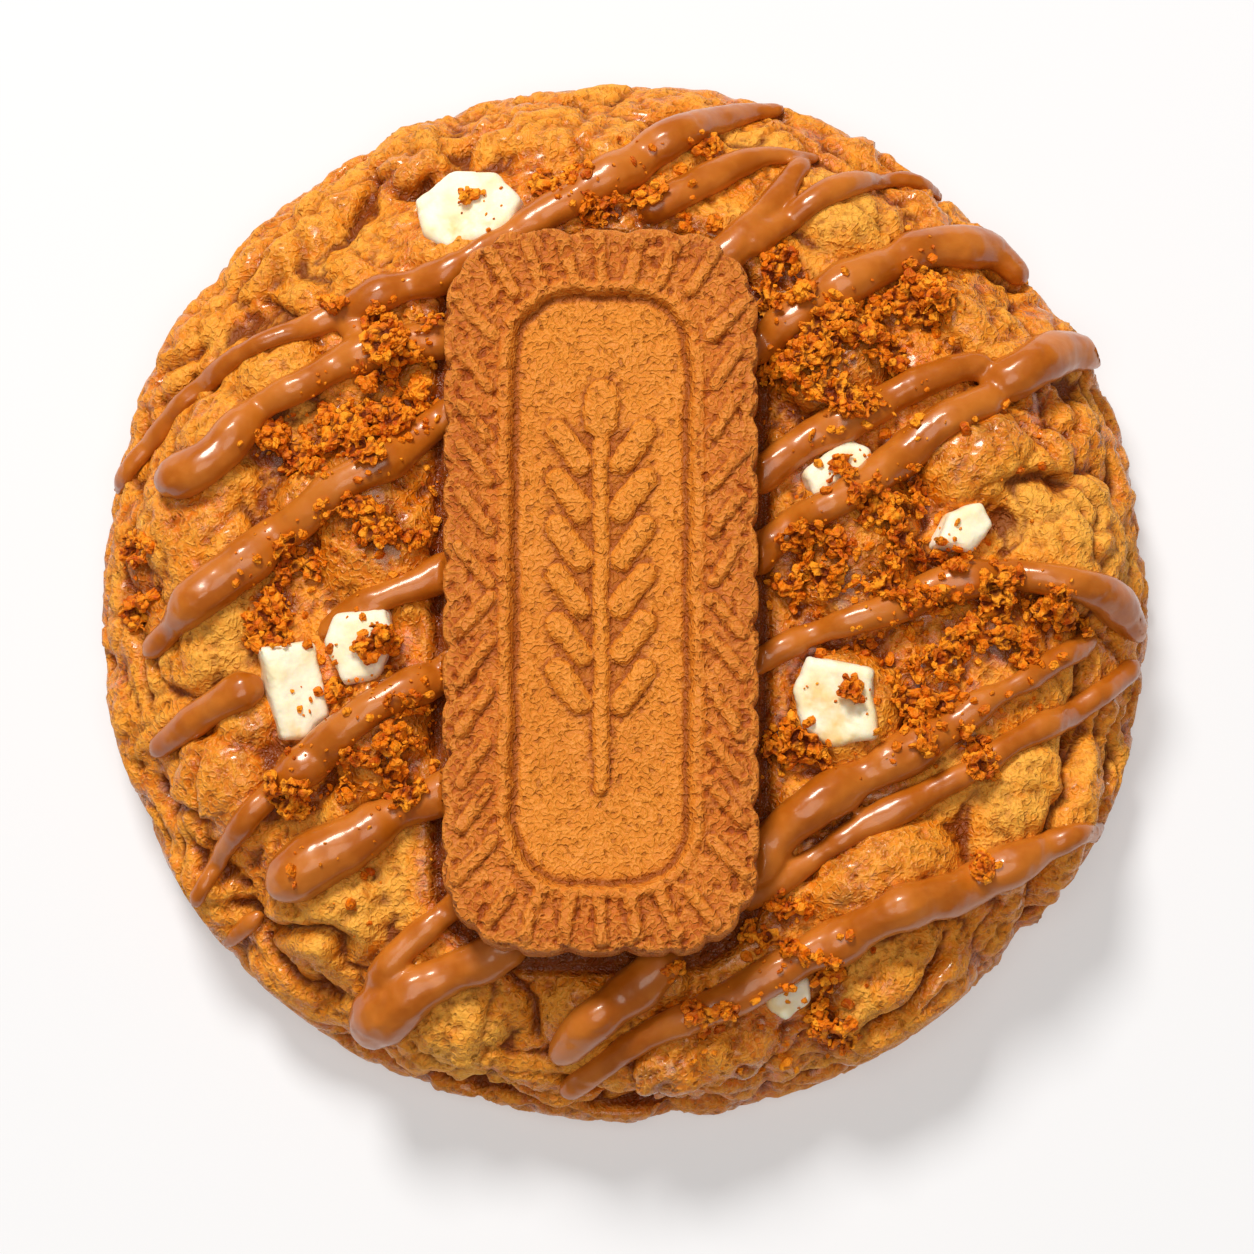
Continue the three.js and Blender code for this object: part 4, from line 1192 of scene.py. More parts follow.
# %% Where the crumbs lie
# Each heap: x, y, reach along x, reach along y, height of the heap, how densely it is filled.
HEAPS = [
    (-23, 22.5, 3.2, 3.8, 2.6, 1.0), (-34.2, 13.6, 2.6, 2.4, 1.6, 1.0),
    (-25.5, 14.7, 6.2, 3.8, 1.5, 0.9), (-20.6, 17.4, 2.6, 2.2, 1.2, 0.9),
    (-18.8, 25.8, 1.8, 1.6, 1.0, 0.8), (-30.5, 12.6, 3.0, 1.6, 0.9, 0.7),
    (-23, 4.8, 2.8, 2.2, 1.4, 0.9), (-26, 6.3, 2.6, 1.9, 1.0, 0.8), (-32.6, 3.8, 0.9, 0.9, 0.8, 1),
    (-33.6, -1.6, 2.6, 2.0, 1.5, 1.0), (-34.6, -4.4, 1.9, 2.2, 1.2, 0.9),
    (-31, 1.2, 2.0, 1.4, 0.7, 0.6), (-23.4, -6.6, 2.2, 2.6, 1.4, 0.9),
    (-28.2, -10.3, 1.4, 1.2, 0.6, 0.7), (-22.4, -15.6, 2.6, 1.9, 1.4, 0.9),
    (-20.6, -12.6, 2.4, 1.4, 0.8, 0.7), (-21.4, -18.1, 2.6, 1.6, 1.0, 0.8),
    (-26, -17.4, 2.0, 1.4, 0.8, 0.6), (-31.7, -20.8, 2.5, 2.0, 1.7, 1.0),
    (-26.5, -20, 2.0, 1.2, 0.6, 0.6), (-20.5, -20.4, 1.8, 1.0, 0.6, 0.6),
    (15.6, 29.8, 2.8, 3.2, 2.0, 1.0), (29.3, 29.2, 3.4, 3.0, 2.1, 1.0),
    (25.6, 27, 2.2, 1.6, 0.9, 0.7), (21.4, 24.4, 4.8, 3.4, 1.3, 0.8),
    (17, 20.6, 3.4, 3.0, 1.3, 0.9), (20.6, 17.9, 3.6, 1.8, 1.0, 0.8),
    (25.4, 21.6, 2.4, 1.6, 0.9, 0.7), (21.4, 10.6, 1.5, 1.0, 0.6, 0.8),
    (27.6, 10, 1.8, 1.2, 0.8, 0.7), (25.6, 7.4, 3.6, 2.2, 1.3, 0.9),
    (18.8, 4, 3.8, 2.2, 1.2, 0.8), (21.7, 0.8, 4.6, 2.4, 1.2, 0.85),
    (16, -0.4, 2.2, 1.8, 1.0, 0.8), (27, 3.2, 3.0, 2.0, 1.0, 0.8), (31.4, 2.6, 2.4, 1.5, 1.0, 0.8),
    (29.5, -1.4, 3.0, 1.6, 1.2, 0.9), (36.2, -1.4, 3.4, 2.4, 1.5, 1.0),
    (41.6, -2.6, 3.0, 2.4, 1.6, 1.0), (33, -4.6, 3.2, 2.2, 1.2, 0.8),
    (37.6, -5.8, 3.4, 2.0, 1.2, 0.9), (28.4, -11.3, 2.6, 3.2, 1.4, 0.85),
    (30.5, -7.6, 2.2, 1.6, 0.8, 0.6), (21.6, -11.2, 1.3, 1.2, 0.9, 0.9),
    (15.2, -15.8, 2.9, 2.6, 1.9, 1.0), (18.6, -16.6, 1.6, 1.2, 0.7, 0.7),
    (32.8, -14.9, 1.4, 1.1, 0.9, 0.9), (34.5, -16.9, 1.7, 1.9, 1.5, 1.0),
    (28.6, -15.4, 1.8, 0.9, 0.5, 0.5), (34.8, -26.8, 1.4, 1.2, 0.8, 0.9),
    (15.4, -31.6, 2.0, 1.6, 1.1, 0.9), (12.6, -33.4, 2.2, 1.4, 1.0, 0.8),
    (19.4, -38.4, 1.8, 2.6, 1.2, 0.9), (19.6, -42.6, 2.0, 2.2, 1.3, 0.95),
    (16.4, -35.4, 1.6, 1.0, 0.6, 0.7), (7.2, -41.3, 1.6, 1.2, 0.7, 0.8),
    (10.4, -40.8, 1.2, 1.0, 0.6, 0.8), (4.6, -37.2, 1.6, 1.0, 0.6, 0.6),
    (2.6, 37.6, 2.6, 1.6, 1.1, 0.9), (-2.2, 37.0, 2.6, 1.4, 1.1, 0.9),
    (6.6, 35.4, 2.4, 1.2, 0.8, 0.7), (-7.6, 39.2, 2.2, 1.4, 0.9, 0.8),
    (-4.4, 41.3, 1.6, 1.0, 0.6, 0.6), (7.6, 43.8, 1.4, 0.9, 0.6, 0.8),
    (15.6, 48.4, 0.8, 0.8, 0.5, 1.0), (-47.4, 0.6, 2.0, 4.2, 1.1, 0.8),
    (-27.6, 28.2, 1.6, 1.0, 0.5, 0.5), (-15.6, 38.5, 1.0, 0.7, 0.4, 0.4),
]
# Loose grains lie round the heaps and along the biscuit: x, y, reach, how many.
LOOSE = [
    (-24, 12, 10, 120), (-24, -14, 9, 110), (21, 20, 9, 120), (24, 3, 10, 150),
    (34, -5, 9, 110), (25, -12, 8, 70), (17, -36, 7, 50), (2, 38, 8, 50), (-30, 0, 8, 60),
    (27, 29, 7, 50), (-20, 24, 6, 50), (12, -43, 7, 36), (-25, -27, 7, 26), (34, 12, 8, 26),
    (-14, 37, 4, 12),
]
print("heaps:", len(HEAPS), "places with loose grains:", len(LOOSE))

# %% [markdown]
# A few grains are modelled: a ball of few faces whose corners are pushed about at random until it
# is angular. Every other grain is a copy of one of them, turned and stretched in its own way. All
# the copies are written into one mesh, because thousands of objects would be slow to handle.

# %% Model a few grains and copy them
# A turn in radians; two decimals are enough for a grain.
FULL_TURN, HALF_TURN = 6.28, 3.14
# A grain stays where the ground faces up at least this much, and this near the cookie's middle.
STEEPEST, FURTHEST = 0.25, 49.5


def grain_shape(subdivisions, offset, seed):
    deselect()
    bpy.ops.mesh.primitive_ico_sphere_add(subdivisions=subdivisions, radius=1)
    ball = bpy.context.object
    bpy.ops.object.mode_set(mode="EDIT")
    bpy.ops.mesh.select_all(action="SELECT")
    bpy.ops.transform.vertex_random(offset=offset, seed=seed)
    bpy.ops.object.mode_set(mode="OBJECT")
    corners = places(ball)
    faces = np.array([p.vertices[:] for p in ball.data.polygons])
    bpy.data.objects.remove(ball)
    return corners, faces


def copy_grains(name, shapes, grains):
    """One mesh from many grains: place, size, three turns, two stretches and a tone for each."""
    all_points, all_faces, shade, first = [], [], [], 0
    for number, (x, y, z, size, spin, tip, roll, wide, flat, tone) in enumerate(grains):
        corners, faces = shapes[number % len(shapes)]
        turn = (Matrix.Rotation(spin, 3, "Z") @ Matrix.Rotation(tip, 3, "X")
                @ Matrix.Rotation(roll, 3, "Y"))
        body = corners * np.array([wide, 1, flat]) * size @ np.array(turn).T
        all_points.append(body * MM + np.array([x, y, z]))
        all_faces.append(faces + first)
        shade.append(np.full(len(corners), tone))
        first += len(corners)
    mesh = bpy.data.meshes.new(name)
    mesh.from_pydata(np.concatenate(all_points), [], np.concatenate(all_faces).tolist())
    obj = bpy.data.objects.new(name, mesh)
    bpy.context.scene.collection.objects.link(obj)
    put_attribute(obj, "tone", np.concatenate(shade))
    return obj


def add_grain(grains, tree, draw, x, y, lift, size, bright=0.0):
    """Puts a grain on the ground at x, y, unless the biscuit covers it or it would fall off."""
    hit, normal = ground(tree, x, y)
    reach = beside_biscuit(np.array(x), np.array(y)) - 0.8 * size
    spin, tip, roll, wide, flat, tone = (draw() for _ in range(6))
    if reach < 0 or normal.z < STEEPEST or math.hypot(x, y) > FURTHEST:
        return
    place = hit + normal * (0.3 * size * MM) + Vector((0, 0, lift * MM))
    turns = (FULL_TURN * spin, HALF_TURN * tip, HALF_TURN * roll)
    stretches = (0.7 + 0.7 * wide, 0.45 + 0.5 * flat)
    grains.append((*place, size, *turns, *stretches, min(1, 0.75 * tone + bright)))


def spot_in(heap, draw, spread):
    """A place in a heap's ragged outline: x, y, and how far from its middle, from 0 to 1."""
    hx, hy, rx, ry, _, _ = heap
    reach, angle = math.sqrt(draw()), FULL_TURN * draw()
    edge = spread * (1 + 0.25 * math.sin(3 * angle + hx) + 0.15 * math.sin(7 * angle + hy))
    x = hx + rx * reach * edge * math.cos(angle)
    y = hy + ry * reach * edge * math.sin(angle)
    return x, y, reach


angular_shapes = [grain_shape(2, 0.42, seed) for seed in (1, 2, 3, 4, 5, 6)]
fine_shapes = [grain_shape(1, 0.4, seed) for seed in (11, 12, 13, 14)]
print("faces of a grain:", len(angular_shapes[0][1]), "and", len(fine_shapes[0][1]))

# %% [markdown]
# Crushed biscuit sticks together in nuggets, and nuggets lie in heaps. Each nugget is about a
# dozen angular grains. A voxel remesh welds them without smoothing, so that their corners stay,
# and the gaps between nuggets stay open and are painted dark as shade. Crumbs draw butter, so the
# dough under and between them is marked as soaked, and shade under the heaps is painted on it.

# %% Clumps of crumbs
CLUMP_VOXEL, CLUMP_SEED = 0.226, 41
bare_tree = tree_of([dough, drizzle] + chunks)


def add_nugget(grains, draw, x, y, lift, reach):
    for _ in range(5 + int(8 * reach ** 2)):
        away, angle = math.sqrt(draw()), FULL_TURN * draw()
        up = reach * math.sqrt(1 - 0.9 * away ** 2) * (0.3 + 0.7 * draw())
        add_grain(grains, bare_tree, draw, x + reach * away * math.cos(angle),
                  y + reach * away * math.sin(angle), lift + 0.8 * up, 0.28 + 0.34 * draw())


def make_clumps():
    draw = random_from(CLUMP_SEED)
    grains = []
    for heap in HEAPS:
        _, _, rx, ry, height, fill = heap
        for _ in range(max(2, int(0.85 * rx * ry * fill * (1 + 0.5 * height)))):
            x, y, reach = spot_in(heap, draw, 0.85)
            lift = 1.1 * height * (1 - reach ** 2) * (0.25 + 0.75 * draw())
            add_nugget(grains, draw, x, y, lift, 0.7 + 0.65 * draw())
    print("grains in clumps:", len(grains))
    welded = copy_grains("crumb_clumps", angular_shapes, grains)
    finish_modifier(welded, "REMESH", mode="VOXEL", voxel_size=CLUMP_VOXEL * MM)
    points, normals = places(welded), directions(welded)
    broken = 0.22 * lumps(points, 1.3, 61)
    broken -= 0.30 * (1 - ramp(cells(points, 1.25, 63), 0, 0.3))
    points += normals * (broken * MM)[:, None]
    put_places(welded, points)
    fine, deep = sunk_below(welded, points, 3, 24)
    # hollow: painted shade in the gaps between grains and between nuggets.
    hollow = 0.6 * ramp(fine, 0.0, 0.12) + ramp(deep, -0.1, 0.3)
    put_attribute(welded, "hollow", np.clip(hollow, 0, 1))
    put_attribute(welded, "tone", np.clip(0.55 + 0.9 * lumps(points, 1.3, 64), 0, 1))
    return welded


# The dough under each heap is marked soaked, and painted shade under the heap goes into hollow.
def soak_and_shade_under_heaps():
    x, y, _ = dough_points.T / MM
    under = np.zeros(len(x))
    for hx, hy, rx, ry, _, fill in HEAPS:
        far = np.hypot((x - hx) / rx, (y - hy) / ry)
        under = np.maximum(under, fill * (1 - ramp(far, 0.6, 1.25)))
    for name, share in (("soak", 0.95), ("hollow", 0.7)):
        layer = dough.data.attributes[name]
        values = np.empty(len(x), dtype=np.float32)
        layer.data.foreach_get("value", values)
        layer.data.foreach_set("value", np.maximum(values, share * under).astype(np.float32))


clumps = make_clumps()
soak_and_shade_under_heaps()
report(clumps)
crumb_tree = tree_of([dough, drizzle, clumps] + chunks)

# %% [markdown]
# Single grains lie on and round the heaps, and some were shaken over the whole cookie. There are
# two pieces of them, because the coarse ones are large enough to show their facets and the dust
# isn't.

# %% Loose grains
COARSE_FROM, LOOSE_SEED = 0.34, 77


def scatter_grains():
    draw = random_from(LOOSE_SEED)
    coarse, fine = [], []
    for heap in HEAPS:
        _, _, rx, ry, height, fill = heap
        for _ in range(int(2.2 * rx * ry * fill)):
            x, y, reach = spot_in(heap, draw, 1.15)
            size = 0.2 + 0.42 * draw() ** 1.8 * (1.1 - 0.5 * reach)
            lift = 0.35 * height * draw() * (1 - reach)
            # bright: partly random paleness, partly painted highlight on grains near a heap's
            # middle, where it stands highest.
            bright = 0.3 * draw() + 0.2 * (1 - reach)
            kind = coarse if size > COARSE_FROM else fine
            add_grain(kind, crumb_tree, draw, x, y, lift, size, bright)
    for lx, ly, reach, count in LOOSE:
        for _ in range(count):
            away, angle = reach * math.sqrt(draw()), FULL_TURN * draw()
            size = 0.14 + 0.5 * draw() ** 3
            x, y = lx + away * math.cos(angle), ly + away * math.sin(angle)
            kind = coarse if size > COARSE_FROM else fine
            add_grain(kind, crumb_tree, draw, x, y, 0, size, 0.2)
    return coarse, fine


coarse_grains, fine_grains = scatter_grains()
crumbs_coarse = copy_grains("crumbs_coarse", angular_shapes, coarse_grains)
crumbs_fine = copy_grains("crumbs_fine", fine_shapes, fine_grains)
print("loose grains:", len(coarse_grains), len(fine_grains))

# %% [markdown]
# ## Materials
# All the finishes read Object coordinates, so a pattern keeps its real size on every piece. The
# colours are built up in layers, as glaze is painted on: a base, then one tint after another,
# each through a mask. The helpers below add a node, link what feeds it and give back its output.

# %% Helpers for node trees
def colour(red, green, blue):
    """An 8-bit display colour as the linear values that shaders use."""
    shown = [v / 255 for v in (red, green, blue)]
    linear = [v / 12.92 if v <= 0.04045 else ((v + 0.055) / 1.055) ** 2.4 for v in shown]
    return (*linear, 1)


def node(tree, kind, links=(), **settings):
    """A new node; each of links is the name or number of an input and what feeds it."""
    made = tree.nodes.new(kind)
    for name, value in settings.items():
        setattr(made, name, value)
    for socket, source in dict(links).items():
        if isinstance(source, bpy.types.NodeSocket):
            tree.links.new(source, made.inputs[socket])
        else:
            made.inputs[socket].default_value = source
    return made


def noise_at(tree, vector, size, detail=3, roughness=0.55):
    """A noise of that size in millimetres, from about 0.3 to 0.7."""
    made = node(tree, "ShaderNodeTexNoise", {"Vector": vector, "Scale": 1 / (size * MM),
                                              "Detail": detail, "Roughness": roughness})
    return made.outputs["Fac"]


def map_range(tree, value, low, high, to_low=0.0, to_high=1.0):
    made = node(tree, "ShaderNodeMapRange", {"Value": value, "From Min": low, "From Max": high,
                                              "To Min": to_low, "To Max": to_high},
                interpolation_type="SMOOTHSTEP")
    return made.outputs["Result"]


def math_of(tree, operation, a, b, clamp=False):
    made = node(tree, "ShaderNodeMath", {0: a, 1: b}, operation=operation, use_clamp=clamp)
    return made.outputs[0]


def mix(tree, amount, a, b):
    """Colour a turning into colour b; the colours are the Mix node's sockets 6, 7 and 2."""
    made = node(tree, "ShaderNodeMix", {"Factor": amount}, data_type="RGBA")
    for socket, source in ((6, a), (7, b)):
        if isinstance(source, bpy.types.NodeSocket):
            tree.links.new(source, made.inputs[socket])
        else:
            made.inputs[socket].default_value = source
    return made.outputs[2]


def tinted(tree, base, mask, strength, tint):
    """The base with a tint over it where the mask says so, at most at that strength."""
    return mix(tree, math_of(tree, "MULTIPLY", mask, strength), base, tint)


print("middle grey as a linear value:", round(colour(128, 128, 128)[0], 3))

# %% [markdown]
# The biscuit, the dough and the crumbs are all baked flour and sugar: the same fine grain, winding
# wrinkles and pits. That grain is one node group, placed in each of the three materials. A bump
# height comes with its masks, so that the colour can follow the same ridges and pits: painted
# highlight on the ridges, painted shade in the pits.

# %% The baked grain that three materials share
def make_baked_grain():
    group = bpy.data.node_groups.new("baked_grain", "ShaderNodeTree")
    group.interface.new_socket("Vector", in_out="INPUT", socket_type="NodeSocketVector")
    for name in ("Mottle", "Ridge", "Pit", "Height"):
        group.interface.new_socket(name, in_out="OUTPUT", socket_type="NodeSocketFloat")
    vector = node(group, "NodeGroupInput").outputs["Vector"]
    broad = noise_at(group, vector, 4.2, detail=4)
    middle = noise_at(group, vector, 1.1, detail=3, roughness=0.6)
    fine = noise_at(group, vector, 0.34, detail=2, roughness=0.6)
    mottle = math_of(group, "ADD", math_of(group, "MULTIPLY", broad, 0.6),
                     math_of(group, "MULTIPLY", middle, 0.4))
    # wrinkles: a noise folded about its middle gives thin winding ridges
    winding = noise_at(group, vector, 0.68, detail=0.5)
    folded = math_of(group, "ABSOLUTE", math_of(group, "SUBTRACT", winding, 0.5), 0)
    ridge = map_range(group, folded, 0.0, 0.13, 1, 0)
    pit = map_range(group, noise_at(group, vector, 0.75, detail=1), 0.28, 0.4, 1, 0)
    height = math_of(group, "ADD", math_of(group, "MULTIPLY", middle, 0.55),
                     math_of(group, "MULTIPLY", fine, 0.35))
    height = math_of(group, "ADD", height, math_of(group, "MULTIPLY", ridge, 0.24))
    height = math_of(group, "SUBTRACT", height, math_of(group, "MULTIPLY", pit, 0.3))
    node(group, "NodeGroupOutput",
         {"Mottle": mottle, "Ridge": ridge, "Pit": pit, "Height": height})
    return group


BAKED_GRAIN = make_baked_grain()
print("shared grain:", [item.name for item in BAKED_GRAIN.interface.items_tree])

# %% [markdown]
# Every finish here starts from one Principled shader. What is the same all over a piece, such as
# how light scatters inside it, stands on the shader's own sockets. Colour, roughness, coat and
# bump change over the surface, so they are linked.

# %% Start of every material
def new_material(name, **fixed):
    """A material with a Principled shader whose constant values stand on its own sockets."""
    material = bpy.data.materials.new(name)
    material.use_nodes = True
    tree = material.node_tree
    tree.nodes.clear()
    shader = node(tree, "ShaderNodeBsdfPrincipled")
    for socket, value in fixed.items():
        shader.inputs[socket.replace("_", " ")].default_value = value
    node(tree, "ShaderNodeOutputMaterial", {"Surface": shader.outputs["BSDF"]})
    vector = node(tree, "ShaderNodeTexCoord").outputs["Object"]
    return material, tree, shader, vector


def attribute(tree, name):
    return node(tree, "ShaderNodeAttribute", attribute_name=name).outputs["Fac"]


def grain(tree, vector):
    made = node(tree, "ShaderNodeGroup", node_tree=BAKED_GRAIN)
    tree.links.new(vector, made.inputs["Vector"])
    return [made.outputs[name] for name in ("Mottle", "Ridge", "Pit", "Height")]


def bump(tree, shader, height, distance):
    """Roughens the shader's normal; distance is how high the grain stands, in millimetres."""
    made = node(tree, "ShaderNodeBump", {"Height": height, "Distance": distance * MM,
                                          "Strength": 1.0})
    tree.links.new(made.outputs["Normal"], shader.inputs["Normal"])


def feed(tree, shader, **sources):
    for socket, source in sources.items():
        tree.links.new(source, shader.inputs[socket.replace("_", " ")])


def ready(material):
    print(material.name, "nodes:", len(material.node_tree.nodes))
    return material

# %% [markdown]
# The dough goes from a dusty pale gold where it is dry, through orange-gold, to a glossy brown
# where it is soaked, and is painted paler where it stands proud, partly as highlight. Its creases,
# the gap round the biscuit and the dough under the heaps are painted darkest, as the shade that
# falls there. Gloss follows the soaking too, but comes in patches, as real butter does.

# %% Dough
def make_dough_material():
    material, tree, shader, vector = new_material(
        "baked_dough", Subsurface_Weight=0.10, Subsurface_Radius=(1.0, 0.4, 0.1),
        Subsurface_Scale=0.0010, IOR=1.45, Specular_IOR_Level=0.36, Coat_Roughness=0.14)
    mottle, ridge, pit, height = grain(tree, vector)
    shifted = math_of(tree, "ADD", attribute(tree, "soak"),
                      map_range(tree, mottle, 0.35, 0.65, -0.22, 0.22))
    base = mix(tree, map_range(tree, shifted, 0.02, 0.4), colour(244, 171, 64),
               colour(236, 140, 22))
    base = mix(tree, map_range(tree, shifted, 0.35, 0.75), base, colour(218, 108, 0))
    base = mix(tree, map_range(tree, shifted, 0.7, 1.05), base, colour(150, 62, 0))
    # Paler where the dough stands proud: partly paler dry crust, partly painted highlight.
    base = tinted(tree, base, attribute(tree, "proud"), 0.3, colour(241, 174, 68))
    speck = noise_at(tree, vector, 0.9, detail=4, roughness=0.7)
    base = mix(tree, map_range(tree, speck, 0.48, 0.66, 0.0, 0.5), base, colour(172, 84, 8))
    # Painted highlight along the ridges of the fine wrinkles.
    base = tinted(tree, base, ridge, 0.3, colour(247, 182, 76))
    # Painted shade in creases, in the gap round the biscuit and under the heaps.
    base = tinted(tree, base, attribute(tree, "hollow"), 0.88, colour(108, 36, 0))
    # Painted shade in the small pits.
    base = tinted(tree, base, pit, 0.35, colour(124, 48, 0))
    rough = map_range(tree, shifted, 0.1, 0.9, 0.6, 0.27)
    open_to_light = math_of(tree, "SUBTRACT", 1, attribute(tree, "hollow"))
    wet = math_of(tree, "MULTIPLY", map_range(tree, shifted, 0.35, 0.85, 0.0, 0.85), open_to_light)
    wet = math_of(tree, "MULTIPLY", wet, map_range(tree, mottle, 0.42, 0.56))
    feed(tree, shader, Base_Color=base, Roughness=rough, Coat_Weight=wet)
    bump(tree, shader, height, 0.36)
    return material


dough_material = ready(make_dough_material())

# %% [markdown]
# The biscuit is baked drier than the cookie: matte, sandy and evenly brown, lighter on its panel
# and redder towards its edge. Shade is painted darker in every fold the mould pressed and in its
# pits, and highlight paler on its proud strokes and the ridges of its wrinkles.

# %% Biscuit
def make_biscuit_material():
    material, tree, shader, vector = new_material(
        "speculoos_biscuit", Subsurface_Weight=0.08, Subsurface_Radius=(1.0, 0.4, 0.12),
        Subsurface_Scale=0.0008, IOR=1.45, Specular_IOR_Level=0.34)
    mottle, ridge, pit, height = grain(tree, vector)
    base = mix(tree, attribute(tree, "edge"), colour(202, 106, 24), colour(178, 84, 12))
    base = mix(tree, attribute(tree, "panel"), base, colour(220, 130, 34))
    patch = map_range(tree, noise_at(tree, vector, 13, detail=2), 0.38, 0.62)
    base = tinted(tree, base, patch, 0.25, colour(196, 102, 20))
    base = mix(tree, map_range(tree, mottle, 0.42, 0.68, 0.0, 0.35), base, colour(232, 146, 54))
    # Painted highlight on the proud strokes of the relief.
    base = tinted(tree, base, attribute(tree, "proud"), 0.3, colour(236, 150, 56))
    # Painted highlight along the ridges of the fine wrinkles.
    base = tinted(tree, base, ridge, 0.35, colour(242, 160, 66))
    # Painted shade in the relief's creases.
    base = tinted(tree, base, attribute(tree, "hollow"), 0.75, colour(132, 50, 0))
    # Painted shade in the small pits.
    base = tinted(tree, base, pit, 0.5, colour(140, 58, 4))
    rough = map_range(tree, mottle, 0.35, 0.7, 0.62, 0.46)
    feed(tree, shader, Base_Color=base, Roughness=rough)
    bump(tree, shader, height, 0.42)
    return material


biscuit_material = ready(make_biscuit_material())

# %% [markdown]
# Crumbs show their broken inside: some are pale and sandy, others dark crust. `tone` was drawn
# once for each loose grain, so that a grain has one colour; in the clumps a noise gives it. Loose
# grains near a heap's middle, where it stands highest, are a little paler, as painted highlight.
# Painted shade darkens the gaps between grains and the pits, and painted highlight the ridges.

# %% Crumbs
def make_crumb_material():
    material, tree, shader, vector = new_material(
        "speculoos_crumb", Subsurface_Weight=0.06, Subsurface_Radius=(1.0, 0.35, 0.1),
        Subsurface_Scale=0.0006, IOR=1.45, Specular_IOR_Level=0.22)
    mottle, ridge, pit, height = grain(tree, vector)
    tone = math_of(tree, "ADD", attribute(tree, "tone"),
                   map_range(tree, mottle, 0.35, 0.65, -0.3, 0.3), clamp=True)
    base = mix(tree, map_range(tree, tone, 0.0, 0.5), colour(192, 78, 0), colour(228, 116, 0))
    base = mix(tree, map_range(tree, tone, 0.5, 1.0), base, colour(250, 156, 30))
    # Painted highlight along the ridges of the fine wrinkles.
    base = tinted(tree, base, ridge, 0.2, colour(255, 180, 60))
    # Painted shade in the gaps between grains and nuggets.
    base = tinted(tree, base, attribute(tree, "hollow"), 0.95, colour(96, 26, 0))
    # Painted shade in the small pits.
    base = tinted(tree, base, pit, 0.5, colour(130, 46, 0))
    rough = map_range(tree, mottle, 0.35, 0.7, 0.5, 0.66)
    feed(tree, shader, Base_Color=base, Roughness=rough)
    bump(tree, shader, height, 0.34)
    return material


crumb_material = ready(make_crumb_material())

# %% [markdown]
# The spread sets to a glossy caramel brown, smooth enough for the studio light to draw a bright
# streak along each rope. A thin coat over a slightly rougher body gives that double gloss.

# %% Drizzle
def make_drizzle_material():
    material, tree, shader, vector = new_material(
        "caramel_drizzle", Subsurface_Weight=0.12, Subsurface_Radius=(1.0, 0.4, 0.12),
        Subsurface_Scale=0.0010, IOR=1.47, Specular_IOR_Level=0.4,
        Coat_Weight=0.5, Coat_Roughness=0.13)
    cloud = noise_at(tree, vector, 6.5, detail=3)
    base = mix(tree, map_range(tree, cloud, 0.38, 0.62), colour(175, 91, 13),
               colour(196, 111, 28))
    # Small paler specks, painted as glints of highlight on the caramel.
    fine = noise_at(tree, vector, 1.3, detail=2)
    base = mix(tree, map_range(tree, fine, 0.45, 0.75, 0.0, 0.2), base, colour(214, 132, 52))
    rough = map_range(tree, cloud, 0.35, 0.65, 0.3, 0.45)
    feed(tree, shader, Base_Color=base, Roughness=rough)
    height = math_of(tree, "ADD", math_of(tree, "MULTIPLY", cloud, 0.7),
                     math_of(tree, "MULTIPLY", fine, 0.3))
    bump(tree, shader, height, 0.15)
    return material


drizzle_material = ready(make_drizzle_material())

# %% [markdown]
# White chocolate is cream with a waxy glow, so light scatters deeper in it than in the dough. Its
# fat has yellowed slightly, and where it touches the dough it is stained. Noise mixes both in.

# %% White chocolate
def make_chocolate_material():
    material, tree, shader, vector = new_material(
        "creamy_chocolate", Subsurface_Weight=0.3, Subsurface_Radius=(1.0, 0.7, 0.4),
        Subsurface_Scale=0.0015, IOR=1.45, Specular_IOR_Level=0.3)
    cloud = noise_at(tree, vector, 3.2, detail=3)
    base = mix(tree, map_range(tree, cloud, 0.42, 0.68), colour(255, 247, 226),
               colour(253, 238, 202))
    stain = math_of(tree, "MULTIPLY", attribute(tree, "stain"), map_range(tree, cloud, 0.4, 0.7))
    base = mix(tree, stain, base, colour(246, 200, 124))
    fine = noise_at(tree, vector, 0.6, detail=2)
    rough = map_range(tree, fine, 0.35, 0.65, 0.4, 0.55)
    feed(tree, shader, Base_Color=base, Roughness=rough)
    bump(tree, shader, math_of(tree, "ADD", cloud, math_of(tree, "MULTIPLY", fine, 0.3)), 0.14)
    return material


chocolate_material = ready(make_chocolate_material())

# %% [markdown]
# ## Finish and place of each piece
# The clumps and the loose grains share one finish, and so do the chunks. Each piece hangs on the
# frame's root, and the solid it stands in for is hidden. Dough, drizzle and crumbs are one solid,
# because spread and crumbs are stuck to the cookie, so all of them replace it together.

# %% Give each piece its finish
def finish_piece(piece, material):
    piece.data.materials.clear()
    piece.data.materials.append(material)
    for polygon in piece.data.polygons:
        polygon.material_index = 0


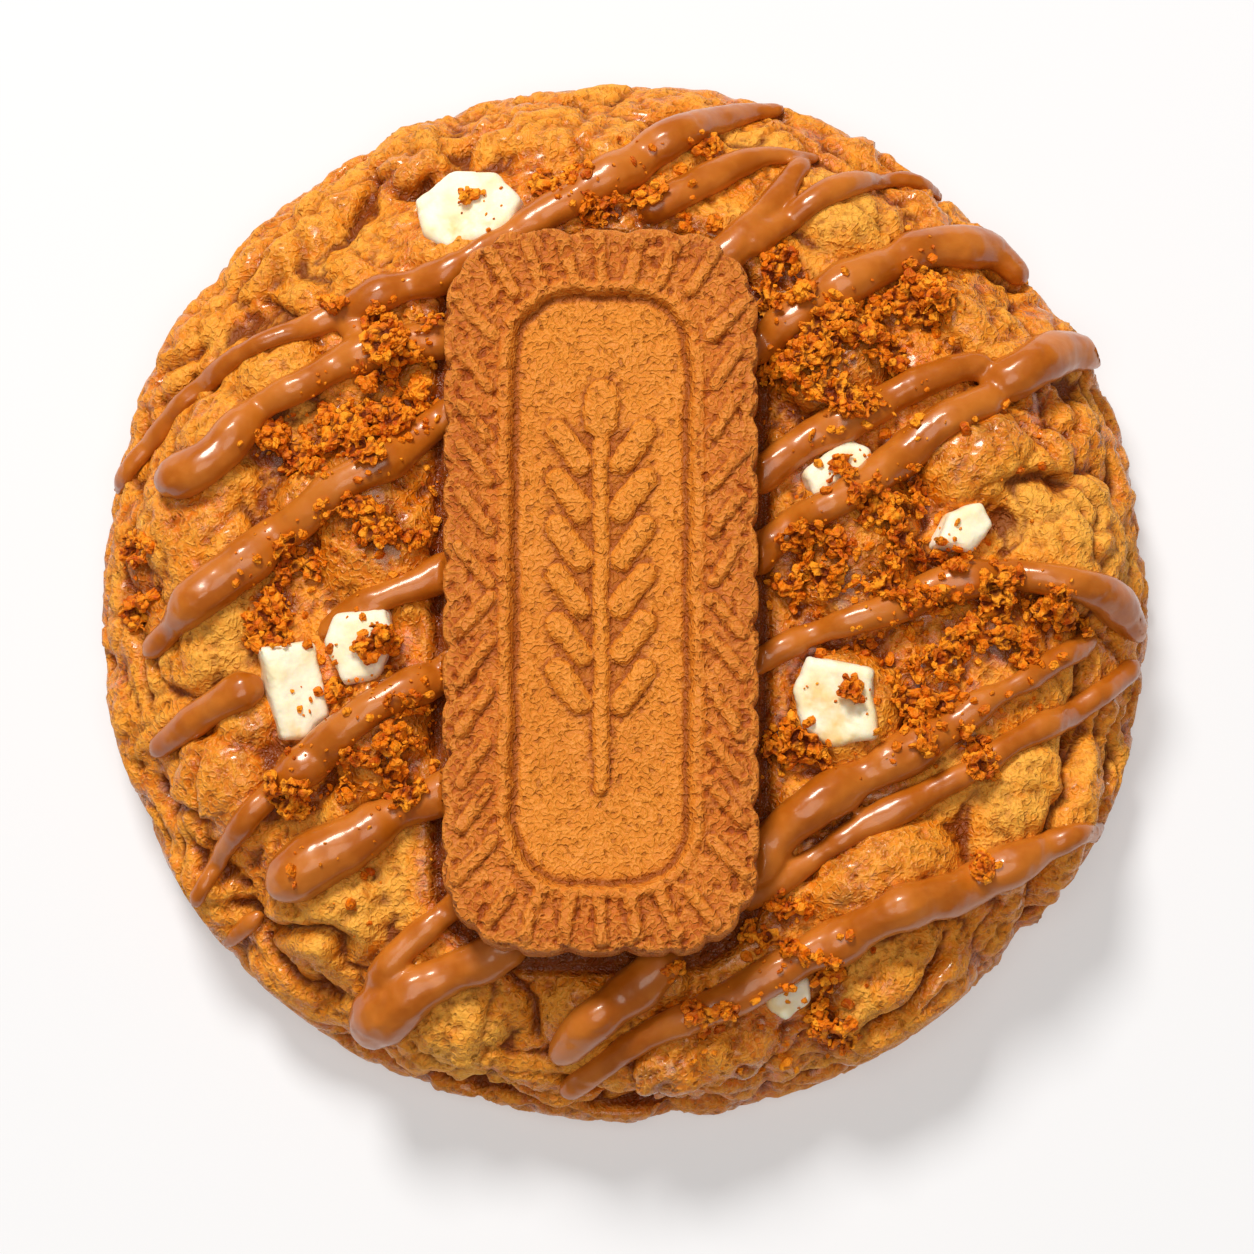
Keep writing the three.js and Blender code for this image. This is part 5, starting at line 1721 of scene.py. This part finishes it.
finish_piece(dough, dough_material)
finish_piece(biscuit, biscuit_material)
finish_piece(drizzle, drizzle_material)
for crumbs in (clumps, crumbs_coarse, crumbs_fine):
    finish_piece(crumbs, crumb_material)
for chunk in chunks:
    finish_piece(chunk, chocolate_material)

# %% Ride the frame
COOKIE_PIECES = (dough, drizzle, clumps, crumbs_coarse, crumbs_fine)
for piece in COOKIE_PIECES:
    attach(piece, "root")
    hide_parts("cookie")
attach(biscuit, "root")
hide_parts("biscuit")
print("pieces:", len(COOKIE_PIECES) + 1 + len(chunks))

# %% [markdown]
# ## Floor and light
# The cookie lies on a plain white table that glows a little, so that it stays white round the
# shadow. One soft window of light comes from beyond the top of the picture, slightly left and
# fairly high. It draws the streaks on the drizzle and throws the soft shadow below and right. A
# broad light from overhead and a dim warm surround fill the rest, so that no crease goes black.

# %% Floor
deselect()
bpy.ops.mesh.primitive_plane_add(size=6, location=(0, 0, 0))
floor = bpy.context.object
floor.name = "floor"
table_material, _, _, _ = new_material(
    "white_table", Roughness=0.9, Base_Color=colour(191, 194, 205),
    Emission_Color=colour(253, 253, 253), Emission_Strength=0.36)
floor.data.materials.append(table_material)
print("floor, m:", round(floor.dimensions.x, 1))

# %% Lights
# Each light: place in metres, size in metres, power in watts, tint.
LIGHTS = {
    "window": ((-0.30, 0.80, 1.12), 0.42, 18.5, (1, 0.96, 0.85)),
    "overhead": ((0.0, -0.2, 1.5), 1.0, 7.5, (1, 0.94, 0.82)),
}
SURROUND, SURROUND_STRENGTH = (1, 0.88, 0.72, 1), 0.16


def area_light(name, place, size, power, tint):
    data = bpy.data.lights.new(name, "AREA")
    data.shape, data.size, data.energy, data.color = "DISK", size, power, tint
    light = bpy.data.objects.new(name, data)
    light.location = place
    light.rotation_euler = (-Vector(place)).to_track_quat("-Z", "Y").to_euler()
    bpy.context.scene.collection.objects.link(light)


for name, values in LIGHTS.items():
    area_light(name, *values)
world = bpy.data.worlds.new("studio")
world.use_nodes = True
background = world.node_tree.nodes["Background"]
background.inputs["Color"].default_value = SURROUND
background.inputs["Strength"].default_value = SURROUND_STRENGTH
bpy.context.scene.world = world
bpy.context.scene.view_settings.view_transform = "Standard"
print("lights:", sorted(LIGHTS))
